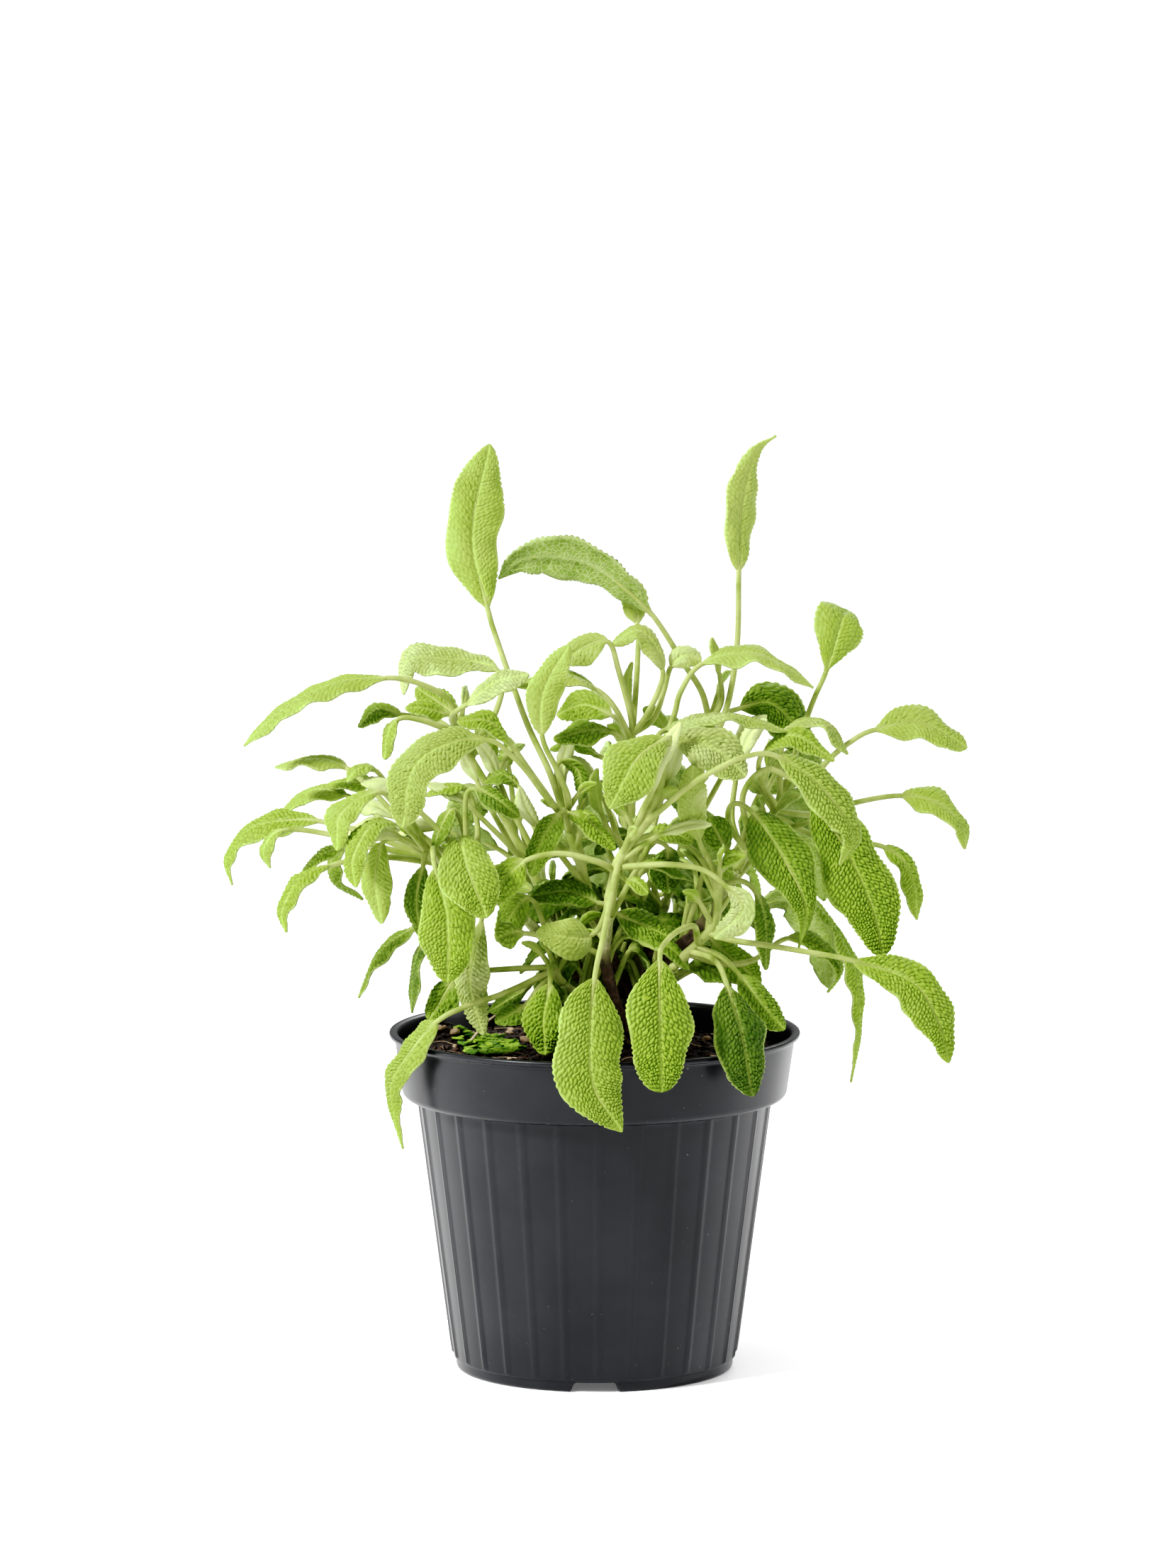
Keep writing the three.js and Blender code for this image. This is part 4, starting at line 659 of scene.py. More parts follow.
class Builder:
    """Gathers the points, faces and point values of one piece."""

    def __init__(self):
        self.points, self.faces, self.values, self.count = [], [], {}, 0

    def add(self, points, *faces, **values):
        """Add points, blocks of faces between them, and a value of each name for every point."""
        self.points.append(np.asarray(points, float))
        for block in faces:
            self.faces.extend((np.asarray(block) + self.count).tolist())
        for name in sorted(set(self.values) | set(values)):
            earlier = self.values.setdefault(name, [np.zeros(self.count)])
            earlier.append(np.broadcast_to(np.asarray(values.get(name, 0.0), float), (len(points),)))
        self.count += len(points)

    def add_round(self, wall, ends, **values):
        """A closed body: rows of points that go round, closed by a fan about a middle point at each end."""
        rows, columns = wall.shape[:2]
        first = self.count
        self.add(np.concatenate([wall.reshape(-1, 3), ends]), ring_faces(rows, columns), **values)
        last = first + (rows - 1) * columns
        j = np.arange(columns)
        k = (j + 1) % columns
        self.faces.extend(np.stack([np.full(columns, self.count - 2), first + k, first + j], 1).tolist())
        self.faces.extend(np.stack([np.full(columns, self.count - 1), last + j, last + k], 1).tolist())

    def make(self, name, material, node=None):
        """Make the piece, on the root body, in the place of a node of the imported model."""
        mesh = bpy.data.meshes.new(name)
        mesh.from_pydata((np.concatenate(self.points) * MM).tolist(), [], self.faces)
        mesh.materials.append(material)
        mesh.polygons.foreach_set("use_smooth", [True] * len(self.faces))
        for key, parts in self.values.items():
            attribute = mesh.attributes.new(key, "FLOAT", "POINT")
            attribute.data.foreach_set("value", np.concatenate(parts).astype(np.float32))
        mesh.update()
        piece = bpy.data.objects.new(name, mesh)
        bpy.context.scene.collection.objects.link(piece)
        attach(piece, "root")
        if node:
            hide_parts(node)


def ring_faces(rows, columns, closed=True):
    """Quads of a grid of rows x columns, closed round its columns or open."""
    i = np.arange(rows - 1)[:, None] * columns
    j = np.arange(columns if closed else columns - 1)[None]
    k = (j + 1) % columns
    return np.stack([i + j, i + k, i + columns + k, i + columns + j], -1).reshape(-1, 4)


def rim_faces(fine, coarse):
    """Faces from an edge of many points to one of few, with the same run of the first to each step."""
    steps = (len(fine) - 1) // (len(coarse) - 1)
    runs = fine[np.arange(0, len(fine) - 1, steps)[:, None] + np.arange(steps + 1)]
    return np.concatenate([runs, coarse[1:, None], coarse[:-1, None]], 1)


def circle(radius, angle, z):
    """Points at a radius, angle and height round the upright axis."""
    return np.stack(np.broadcast_arrays(radius * np.cos(angle), radius * np.sin(angle), z), -1)


def add_tube(build, line, normals, radii, sides, **values):
    """A closed round limb along a line, with a radius for each row, or for each row and side."""
    side = np.cross(tangents(line), normals)
    angle = -2 * np.pi * np.arange(sides) / sides
    ring = np.cos(angle)[None, :, None] * side[:, None] + np.sin(angle)[None, :, None] * normals[:, None]
    radii = np.asarray(radii, float)
    if radii.ndim == 1:
        radii = radii[:, None]
    build.add_round(line[:, None] + ring * radii[..., None], line[[0, -1]], **values)


def pebbles(rows, lanes, cells, seed):
    """Domes and side veins on a blade's grid: bands of bricks between the veins, each 0 to 1."""
    i = np.arange(rows + 1)[:, None]
    j = np.arange(-cells * lanes, cells * lanes + 1)[None]
    hand = j > 0
    band = i // cells
    shifted = np.abs(j) + np.floor(cells * hash01(band, hand, seed))
    lane = shifted // cells
    p = (i % cells) / cells
    q = (shifted % cells) / cells
    high = np.sin(np.pi * p) ** PEBBLE_ROUNDNESS
    wide = np.sin(np.pi * q) ** PEBBLE_ROUNDNESS
    at_vein = (band + hand) % PEBBLES_BETWEEN_VEINS == 0
    high = np.where((p == 0) & ~at_vein & (hash01(band, lane, seed + 3) < JOINED[0]), JOINT_HEIGHT, high)
    wide = np.where((q == 0) & (hash01(band, lane, seed + 5) < JOINED[1]), JOINT_HEIGHT, wide)
    return high * wide, ((p == 0) & at_vein).astype(float)


def add_leaf(build, stalk, blade, form, toward, seed, kind, grid):
    """A stalk that runs on as the midrib, and a blade. The form is width, turn, widest place and point."""
    steps = 24
    curve = smooth(list(stalk) + list(blade), steps)
    cut = len(stalk) * steps
    stalk_curve, blade_curve = curve[:cut + 1], curve[cut:]
    stalk_steps = max(4, int(line_length(stalk_curve) / STALK_STEP))
    rows = grid[1] * max(5, round(line_length(blade_curve) / grid[0]))
    line = np.concatenate([evenly(stalk_curve, stalk_steps)[:-1], evenly(blade_curve, rows)])
    along = tangents(line)
    middle = stalk_steps + rows // 2
    normals = carried(along, middle, facing(along[middle], line[middle], form[1], toward))
    add_midrib(build, line, normals, stalk_steps, rows, kind[0])
    add_blade(build, line[stalk_steps:], normals[stalk_steps:], form, seed, kind, grid)


def add_midrib(build, line, normals, stalk_steps, rows, tone):
    """The stalk, running on as a tapering rib under the blade."""
    rib_end = stalk_steps + int(MIDRIB_END * rows)
    share = np.concatenate([np.zeros(stalk_steps), np.arange(rib_end - stalk_steps) / rows])
    root_share = np.minimum(1, np.arange(rib_end) / stalk_steps)
    radii = STALK_RADIUS_ROOT + (STALK_RADIUS_TOP - STALK_RADIUS_ROOT) * root_share
    radii = radii * (1 - MIDRIB_TAPER * share)
    sink = smoothstep(-0.02, 0.12, share) * (radii * MIDRIB_SINK + BLADE_HALF_THICKNESS)
    rib = np.arange(stalk_steps, rib_end - 1, MIDRIB_EVERY)
    every = np.concatenate([np.arange(stalk_steps), rib, [rib_end - 1]])
    rib_line = (line[:rib_end] - normals[:rib_end] * sink[:, None])[every]
    pale = np.concatenate([np.repeat(1 - 0.35 * share[every], STALK_SIDES), [1, 0.7]])
    add_tube(build, rib_line, normals[:rib_end][every], radii[every], STALK_SIDES,
             relief=1, tone=tone, stalk=pale)


def blade_spots(outline, rows, lanes, cells, length, seed):
    """For each point of a blade: v and s, from -1 to 1 and 0 to 1, its half width there, and x and y."""
    i = np.arange(rows + 1)[:, None]
    v = np.linspace(-1, 1, 2 * cells * lanes + 1)[None]
    j = v * cells * lanes
    far = np.abs(v)

    # The rows sweep forwards from the midrib, as the side veins do, and sway a little.
    inner = (1 - far ** 4) * np.minimum(1, np.minimum(i, rows - i) / 6)
    forward = VEIN_SWEEP * far * half_width(i / rows, *outline) * smoothstep(1, 0.6, i / rows)
    sway = ROW_SWAY * inner * (np.sin(0.9 * j + 0.35 * i + seed) + np.sin(0.37 * j - 0.8 * i + 2 * seed))
    s = np.clip(i / rows + (forward + sway) / length, 0, 1)
    half = half_width(s, *outline)
    aside = LANE_SWAY * inner * np.minimum(1, half / 4) * np.sin(0.8 * i + 0.6 * j + seed)
    return v, s, half, s * length, v * half + aside * np.minimum(1, np.abs(j) / 3)


def blade_height(spots, dome, side_vein, midrib, rough, seed):
    """How far a blade's middle layer stands off the flat: folds and waves, pebbles and vein grooves."""
    v, s, half, x, y = spots
    far = np.abs(v)
    relief = rough * PEBBLE_HEIGHT * (dome - 0.5) * smoothstep(1.0, 0.9, far)
    relief = relief - VEIN_DEPTH * side_vein * (1 - far) - MIDRIB_DEPTH * midrib * (1 - s)
    ruffle = RUFFLE * np.sin(x / 1.7 + seed + 1.3 * (v > 0)) * far ** 3
    wave = WAVE * np.sin(x / 5.1 + y / 3 + 2 * seed)
    twist = v * far * RIPPLE * np.sin(seed * 2.4 + s * 9)
    bend = half * (twist - FOLD * v ** 2 + ARCH * np.sin(np.pi * far))
    return bend + (relief + (ruffle + wave)) * slender(half)


def slender(half):
    """The share of its relief that a blade has where it is narrow."""
    return np.clip(half / 4, 0.2, 1)


def blade_edge(spots, seed):
    """The place across a blade, with its uneven outline and the scallops of its edge."""
    v, s, half, x, y = spots
    scallop = np.abs(np.sin(np.pi * x / TOOTH_PITCH + seed)) - 0.5
    tooth = np.minimum(TOOTH_DEPTH, 0.2 * half) * smoothstep(0, 0.06, s) * smoothstep(1, 0.96, s)
    uneven = 1 + UNEVEN * (np.sin(x / 4.1 + 2.1 * seed + 1.9 * (v > 0)) * np.sin(np.pi * s) - 0.3)
    return y * uneven + v * np.abs(v) ** 7 * scallop * tooth


def laid(line, normals, s, lateral):
    """Points beside a line at the shares s of it, and the upward direction at each."""
    rows = len(line) - 1
    at = s * rows
    before = np.minimum(at.astype(int), rows - 1)
    share = (at - before)[..., None]
    sides = np.cross(tangents(line), normals)
    middle, up, out = [a[before] * (1 - share) + a[before + 1] * share for a in (line, normals, sides)]
    return middle + out * lateral[..., None], up


def add_blade(build, line, normals, form, seed, kind, grid):
    """A fine top, joined at its edge to an underside that has a point for each pebble only."""
    width, _, widest, point = form
    tone, rough = kind
    pebble, cells = grid
    rows = len(line) - 1
    lanes = max(2, round(0.5 * width / pebble))
    spots = blade_spots((width, widest, point), rows, lanes, cells, line_length(line), seed)
    v, s, half, x, y = spots
    dome, side_vein = pebbles(rows, lanes, cells, seed)
    at_base, at_tip = MIDRIB_WIDTHS
    midrib = np.exp(-((y / (at_base + (at_tip - at_base) * s)) ** 2))
    dome = dome * (1 - midrib)
    height = blade_height(spots, dome, side_vein, midrib, rough, seed)
    thickness = BLADE_HALF_THICKNESS * (1 - EDGE_THINNING * np.abs(v) ** 6)
    pillow = UNDER_PILLOW * (1 - dome) * slender(half)
    base, up = laid(line, normals, s, blade_edge(spots, seed))
    below = np.s_[::cells, ::cells]
    top = base + up * (height + thickness)[..., None]
    low = (base + up * (height - thickness - pillow)[..., None])[below]

    upper = np.arange(s.size).reshape(s.shape)
    under = upper.size + np.arange(s[below].size).reshape(s[below].shape)
    rims = [rim_faces(upper[:, 0], under[:, 0]), rim_faces(upper[:, -1], under[:, -1])[:, ::-1],
            rim_faces(upper[0], under[0])[:, ::-1], rim_faces(upper[-1], under[-1])]
    # Painted shade for the valleys between the pebbles and along the side veins, passed on as 1 minus this
    # in relief.
    valley_shade = rough * (1 - np.maximum(dome, midrib)) * np.sqrt(slender(half))
    fuzz = EDGE_FUZZ * smoothstep(0.93, 1, np.abs(v)) * smoothstep(0, 1, half)
    vein = np.maximum(midrib * (1 - 0.6 * s), fuzz)
    leaf_foot = smoothstep(5, 0, x) * np.exp(-((y / 1.3) ** 2))

    def both(value):
        """The value at the points of the top and then of the underside."""
        return np.concatenate([value.ravel(), value[below].ravel()])

    build.add(
        np.concatenate([top.reshape(-1, 3), low.reshape(-1, 3)]),
        ring_faces(*upper.shape, closed=False),
        ring_faces(*under.shape, closed=False)[:, ::-1] + upper.size,
        *rims,
        relief=both(1 - valley_shade),
        vein=both(vein),
        under=np.repeat([0.0, 1.0], [upper.size, under.size]),
        tone=tone,
        stalk=both(leaf_foot))


def add_seen_leaf(build, row, stem_line, seed, kind, grid):
    """A leaf as it is seen, with the root of its stalk moved to the middle of the stem."""
    stalk, blade, *form = row
    stalk = [seen(p) for p in stalk]
    root = stem_line[np.linalg.norm(stem_line - stalk[0], axis=1).argmin()]
    form += USUAL_SHAPE[len(form) - 2:]
    add_leaf(build, [root, *stalk[1:]], [seen(p) for p in blade], form, TOWARD_EYE, seed, kind, grid)


def add_stem(build, points, radius_start, radius_end):
    """A green stem with a slight swelling at each pair of leaves."""
    points = list(points)
    points[0] = points[0] + STEM_GAP * unit(points[1] - points[0])
    curve = smooth(points, 12)
    steps = max(6, int(line_length(curve) / STEM_STEP))
    line = evenly(curve, steps)
    at = np.linspace(0, 1, steps + 1)
    radii = radius_start + (radius_end - radius_start) * at
    from_node = np.mod(at * steps * STEM_STEP, NODE_EVERY) - NODE_EVERY / 2
    radii = radii * (1 + NODE_SWELL * np.exp(-(from_node / NODE_REACH) ** 2))
    radii[-1] *= 0.55
    add_tube(build, line, limb_normals(line), radii, STEM_SIDES, relief=1, tone=0.7, stalk=1)


def add_bowed_leaf(build, root, out, reach, bow, form, seed, kind):
    """A leaf that reaches out in a bow, given as (share of the reach, height over the root)."""
    stalk_end, *blade = [root + out * away * reach + np.array((0, 0, up)) for away, up in bow]
    add_leaf(build, [root, stalk_end], blade, form, out, seed, kind, FAR_GRID)


def add_young_leaves(build, stem_line, seed):
    """Small narrow leaves in the axils along a stem."""
    for j in range(YOUNG_LEAVES):
        root = stem_line[int((0.3 + 0.65 * j / YOUNG_LEAVES) * (len(stem_line) - 1))]
        out = level(2.4 * j + seed)
        size = about(8, 3, seed + 5 * j)
        bow = [(away, up * size) for away, up in ((0.35, 0.45), (0.6, 0.8), (0.95, 1.15), (1.4, 1.3))]
        form = (about(3.4, 1, seed + 9 * j), 60, 0.5, 0.8)
        add_bowed_leaf(build, root, out, size, bow, form, seed + j, LEAF_KINDS["lmd"[j % 3]])


def make_shoot(row, order, material):
    """A shoot with the leaves that are seen on it, and small ones in its axils."""
    name, kinds, stem, radius_start, radius_end, leaves = row
    points = [seen(p) for p in stem]
    stem_line = smooth(points, 8)[6:]
    seed = order * 31
    build = Builder()
    add_stem(build, points, radius_start, radius_end)
    for j, (letter, leaf) in enumerate(zip(kinds, leaves)):
        tone, rough = LEAF_KINDS[letter]
        add_seen_leaf(build, leaf, stem_line, seed + j, (about(tone, 0.06, seed + j), rough), NEAR_GRID)
    for j, leaf in enumerate(YOUNG.get(name, [])):
        add_seen_leaf(build, leaf, stem_line, seed + 200 + j, LEAF_KINDS["p"], FAR_GRID)
    add_young_leaves(build, stem_line, order * 17)
    build.make(name + "_fine", material, name)


def make_inner_leaves(material):
    """Small leaves on long stalks, inside the bush and towards its back, mostly of dark kinds that are
    partly painted shade.
    """
    build = Builder()
    branches = [smooth([seen(p) for p in points], 8) for points, _, _ in WOOD]
    for j in range(INNER_LEAVES):
        branch = branches[j % len(branches)]
        root = branch[int(about(0.66, 0.3, 3 * j + 1) * (len(branch) - 1))]
        out = level(math.pi * about(0.5, 0.62, 13 * j + 7))
        reach = about(17, 7, 5 * j + 2)
        rise = about(12, 11, 7 * j + 3)
        droop = about(10, 7, 11 * j + 4)
        bow = ((0.25, 0.55 * rise), (0.5, rise), (0.8, rise + 1), (1.15, rise - 0.4 * droop),
               (1.35, rise - droop))
        form = (about(8.5, 2.5, j + 50), about(45, 25, j + 60), *USUAL_SHAPE)
        # Three in four inner leaves take the dark kinds d and k, partly painted shade for the shaded inside
        # of the bush.
        add_bowed_leaf(build, root, out, reach, bow, form, j + 300, LEAF_KINDS["dkmd"[j % 4]])
    build.make("inner_leaves", material)


def make_far_shoot(row, material):
    """A shoot on the far side, with leaves to the left and right by turns, the low ones further out."""
    name, stem, radius_start, radius_end, count, farthest, seed = row
    points = [seen(p) for p in stem]
    stem_line = smooth(points, 8)
    heading = math.atan2(points[2][1], points[2][0])
    build = Builder()
    add_stem(build, points, radius_start, radius_end)
    for j in range(count):
        height = j / (count - 1)
        root = stem_line[math.floor((0.35 + 0.65 * height) * (len(stem_line) - 1) + 0.5)]
        spread = (0.95 - 0.55 * height) * about(0.75, 0.25, seed + j)
        out = level(heading + (1 if j % 2 else -1) * spread)
        reach = about(farthest - 20 * height, 5, seed + j + 40)
        rise = about(6 + 22 * height, 4, seed + j + 80)
        droop = about(20 - 22 * height, 5, seed + j + 120)
        bow = ((0.18, 0.6 * rise), (0.42, rise), (0.7, rise + 3), (0.92, rise - 0.35 * droop),
               (1, rise - droop))
        form = (about(11, 2, seed + j + 160), 62, *USUAL_SHAPE)
        kind = (about(0.5, 0.35, seed + j + 200), 0.9)
        add_bowed_leaf(build, root, out, reach, bow, form, seed + j, kind)
    add_young_leaves(build, stem_line, seed)
    build.make(name + "_fine", material, name)


def make_crown(material):
    """The brown branches, with ridged bark and a ring at each old leaf scar."""
    build = Builder()
    for k, (points, radius_start, radius_end) in enumerate(WOOD):
        curve = smooth([seen(p) for p in points], 12)
        steps = int(line_length(curve) / BARK_STEP)
        line = evenly(curve, steps)
        share = np.linspace(0, 1, steps + 1)
        walked = (np.arange(steps + 1) * BARK_STEP)[:, None]
        angle = (2 * np.pi * np.arange(BARK_SIDES) / BARK_SIDES)[None]
        from_scar = np.mod(walked + 3 * k, SCAR_EVERY) - SCAR_EVERY / 2
        scars = SCAR_HEIGHT * np.exp(-(from_scar / 0.8) ** 2)
        ridges = 0.1 * np.sin(5 * angle + 0.12 * walked + k) + 0.08 * np.sin(9 * angle - 0.3 * walked)
        radii = radius_start + (radius_end - radius_start) * share[:, None] + scars + ridges
        young = np.concatenate([np.repeat(share, BARK_SIDES), [0, 1]])
        add_tube(build, line, limb_normals(line), radii, BARK_SIDES, young=young)
    build.make("woody_crown_fine", material, "woody_crown")


def pot_profile():
    """The pot's turned outline as (radius, height, share of a rib), from under its floor to over it."""
    rows = [(radius, FLOOR_UNDER, 0) for radius in (0.0, 20, 37.9)]
    rows += [(radius, z, 0) for radius, z in POT_FOOT]
    rows.append((BODY_RADIUS_LOW + 0.05, 4.3, 1))
    slope = (BODY_RADIUS_TOP - BODY_RADIUS_LOW) / (BAND_LOW - BODY_FOOT)
    for z in np.linspace(8, BAND_LOW - 1.2, 14):
        rows.append((BODY_RADIUS_LOW + slope * (z - BODY_FOOT), z, 1))
    rows += [(BODY_RADIUS_TOP - 0.05, BAND_LOW - 0.4, 1), (BODY_RADIUS_TOP + 0.25, BAND_LOW + 0.05, 0),
             (BODY_RADIUS_TOP + 0.8, BAND_UNDER, 0)]
    for a in np.linspace(0, math.pi / 2, 7):
        radius = BAND_RADIUS_LOW - BAND_CORNER * (1 - math.sin(a))
        rows.append((radius, BAND_UNDER + BAND_CORNER * (1 - math.cos(a)), 0))
    corner_top = BAND_UNDER + BAND_CORNER
    for z in np.linspace(BAND_LOW + 5, 96.6, 6):
        share = (z - corner_top) / (BAND_TOP - corner_top)
        rows.append((BAND_RADIUS_LOW + share * (BAND_RADIUS_TOP - BAND_RADIUS_LOW), z, 0))
    rows += [(radius, z, 0) for radius, z in POT_LIP + POT_INSIDE]
    return np.array(rows)


def make_pot(material):
    """The pot turned from its outline, with fine ribs on its wall and notches in its foot."""
    radius, height, ribbed = [column[:, None] for column in pot_profile()[1:-1].T]
    columns = RIBS * POT_COLUMNS_PER_RIB
    angle = 2 * np.pi * np.arange(columns) / columns
    degrees = np.degrees(angle) + 90
    from_rib = (degrees - RIB_OFFSET_DEG + 180 / RIBS) % (360 / RIBS) - 180 / RIBS
    rib_arc = np.abs(np.radians(from_rib)) * radius
    proud = RIB_PROUD * (1 - smoothstep(*[share * RIB_WIDTH for share in RIB_FLANK], rib_arc)) * ribbed
    from_notch = (degrees + NOTCH_EVERY_DEG / 2) % NOTCH_EVERY_DEG - NOTCH_EVERY_DEG / 2
    notch_arc = np.abs(np.radians(from_notch)) * FOOT_RADIUS
    notched = 1 - smoothstep(*[NOTCH_WIDTH / 2 + flank for flank in NOTCH_FLANK], notch_arc)
    lifted = np.where(height < FLOOR_UNDER - 0.1, (NOTCH_TOP - height) * notched, 0)
    wall = circle(radius + proud, angle, height + lifted)
    build = Builder()
    build.add_round(wall, [[0, 0, FLOOR_UNDER], [0, 0, FLOOR_TOP]])
    build.make("pot_fine", material, "pot")


def soil_height(x, y):
    """The height of the soil, with its slow waves and its mound."""
    from_mound = ((x - MOUND_X) ** 2 + (y - MOUND_Y) ** 2) / (2 * MOUND_SPREAD ** 2)
    waves = 0.7 * np.sin(0.11 * x + 1) + 0.6 * np.cos(0.13 * y - 0.06 * x)
    return SOIL_TOP + waves + MOUND_HEIGHT * np.exp(-from_mound)


def make_soil(material):
    """The soil body with a clumpy top."""
    angle = 2 * np.pi * np.arange(SOIL_COLUMNS) / SOIL_COLUMNS
    rows = [circle(radius, angle, z) for radius, z in SOIL_SIDE]
    for radius in np.linspace(SOIL_RADIUS, 0.7, SOIL_RINGS):
        x, y = radius * np.cos(angle), radius * np.sin(angle)
        z = soil_height(x, y) - SOIL_SINK
        for size, height, flank, seed in SOIL_CLUMPS:
            z = z + height * smoothstep(0, flank, cell_walls(x / size, y / size, seed))
        edge_drop = SOIL_EDGE_DROP * (1 - smoothstep(SOIL_RADIUS, SOIL_EDGE, radius))
        rows.append(circle(radius, angle, z - edge_drop))
    build = Builder()
    build.add_round(np.array(rows), [[0, 0, SOIL_SIDE[0][1]], [0, 0, soil_height(0, 0)]])
    build.make("soil_fine", material, "soil")


def lump_shape():
    """The corners and faces of a ball of twenty triangles."""
    golden = (1 + math.sqrt(5)) / 2
    corners = np.array([
        (-1, golden, 0), (1, golden, 0), (-1, -golden, 0), (1, -golden, 0),
        (0, -1, golden), (0, 1, golden), (0, -1, -golden), (0, 1, -golden),
        (golden, 0, -1), (golden, 0, 1), (-golden, 0, -1), (-golden, 0, 1),
    ], float)
    faces = []
    for i, j, k in itertools.combinations(range(len(corners)), 3):
        a, b, c = corners[[i, j, k]]
        if max(np.linalg.norm(a - b), np.linalg.norm(b - c), np.linalg.norm(c - a)) > 2.01:
            continue
        outward = np.dot(np.cross(b - a, c - a), a) > 0
        faces.append([i, j, k] if outward else [k, j, i])
    return corners / np.linalg.norm(corners[0]), faces


def turned(rng, tilt):
    """A random turn about the vertical after a random tilt of up to `tilt` radians."""
    turn, lean = rng.uniform(0, 2 * np.pi), rng.uniform(-tilt, tilt)
    c, s = math.cos(turn), math.sin(turn)
    ct, st = math.cos(lean), math.sin(lean)
    return np.array(((c, -s, 0), (s, c, 0), (0, 0, 1))) @ np.array(((1, 0, 0), (0, ct, -st), (0, st, ct)))


def on_soil(rng, farthest):
    """A random place on the soil up to `farthest` from the axis."""
    azimuth, radius = rng.uniform(0, 2 * np.pi), farthest * math.sqrt(rng.uniform(0, 1))
    x, y = radius * math.cos(azimuth), radius * math.sin(azimuth)
    return np.array((x, y, soil_height(x, y)))


def make_crumbs(material, rng):
    """Loose crumbs of soil."""
    ball, faces = lump_shape()
    build = Builder()
    for _ in range(CRUMBS):
        place = on_soil(rng, CRUMB_REACH)
        size = rng.uniform(0.35, 1.0) + 0.9 * rng.uniform(0, 1) ** 6
        place[2] += 0.25 * size
        shape = ball * (1 + 0.3 * rng.uniform(-1, 1, (len(ball), 1))) * size
        shape = shape * (1, rng.uniform(0.5, 1), 0.6)
        build.add(shape @ turned(rng, 0.5).T + place, faces, tone=rng.uniform(0, 1))
    build.make("soil_crumbs", material)


def make_chips(material, rng):
    """Flat chips of bark: large ones near the left rim, small ones strewn about."""
    ball, faces = lump_shape()
    build = Builder()
    places = [np.array((x, y, soil_height(x, y))) for x, y in CHIPS]
    places += [on_soil(rng, CHIP_REACH) for _ in range(SMALL_CHIPS)]
    for k, place in enumerate(places):
        size = CHIP_SIZE if k < len(CHIPS) else rng.uniform(*SMALL_CHIP_SIZES)
        shape = ball * (1 + 0.25 * rng.uniform(-1, 1, (len(ball), 1))) * size * (1, 0.6, 0.4)
        build.add(shape @ turned(rng, 0.5).T + place + (0, 0, 0.3 * size), faces, tone=rng.uniform(0.2, 1))
    build.make("bark_chips", material)


def make_moss(material, rng):
    """A flat patch of moss: small lobes with wavy rims, lying over one another."""
    build = Builder()
    angle = 2 * np.pi * np.arange(MOSS_SIDES) / MOSS_SIDES
    for _ in range(MOSS_LOBES):
        azimuth, share = rng.uniform(0, 2 * np.pi), math.sqrt(rng.uniform(0, 1))
        x = MOSS_MIDDLE[0] + MOSS_REACH[0] * share * math.cos(azimuth)
        y = MOSS_MIDDLE[1] + MOSS_REACH[1] * share * math.sin(azimuth)
        size = rng.uniform(*MOSS_SIZES)
        wavy = 1 + 0.22 * np.sin(3 * angle + rng.uniform(0, 6))
        wavy = wavy + 0.1 * np.sin(7 * angle + rng.uniform(0, 6))
        rows = [circle(radius * wavy, angle, z) * (1, 0.75, 1) for radius, z in MOSS_PROFILE]
        turn = turned(rng, 0.45)
        place = np.array((x, y, soil_height(x, y) + rng.uniform(0.5, 1.3)))
        wall = np.array(rows) @ turn.T * size + place
        ends = np.array([(0, 0, -0.15), (0, 0, 0.1)]) @ turn.T * size + place
        build.add_round(wall, ends, tone=rng.uniform(0, 1))
    build.make("moss", material)


def make_twigs(material, rng):
    """Two dry twigs, and thin fibres lying on the soil."""
    build = Builder()
    lines = [[seen(p) for p in twig] for twig in TWIGS]
    for _ in range(FIBRES):
        middle = on_soil(rng, FIBRE_REACH) + np.array((0, 0, 0.5))
        heading, length = rng.uniform(0, 2 * np.pi), rng.uniform(1.5, 4.5)
        run = length * level(heading)
        aside = np.array((-run[1], run[0], 0)) * rng.uniform(-0.25, 0.25)
        lines.append([middle - run, middle + aside + (0, 0, rng.uniform(0, 0.6)), middle + run])
    for k, points in enumerate(lines):
        line = evenly(smooth(points, 6), 10)
        from_axis = np.linalg.norm(line[:, :2], axis=1)
        line[:, :2] *= np.minimum(1, INSIDE_RADIUS / np.maximum(1, from_axis))[:, None]
        radius = TWIG_RADIUS if k < len(TWIGS) else rng.uniform(*FIBRE_RADII)
        radii = radius * (1 - 0.4 * np.linspace(0, 1, len(line)))
        normals = carried(tangents(line), 0, np.array((0.1, 0.2, 1.0)))
        add_tube(build, line, normals, radii, 6, tone=rng.uniform(0, 1))
    build.make("twigs", material)


def srgb(text):
    """A linear colour from six hexadecimal digits."""
    parts = [int(text[k:k + 2], 16) / 255 for k in (0, 2, 4)]
    return tuple(c / 12.92 if c <= 0.04045 else ((c + 0.055) / 1.055) ** 2.4 for c in parts) + (1.0,)


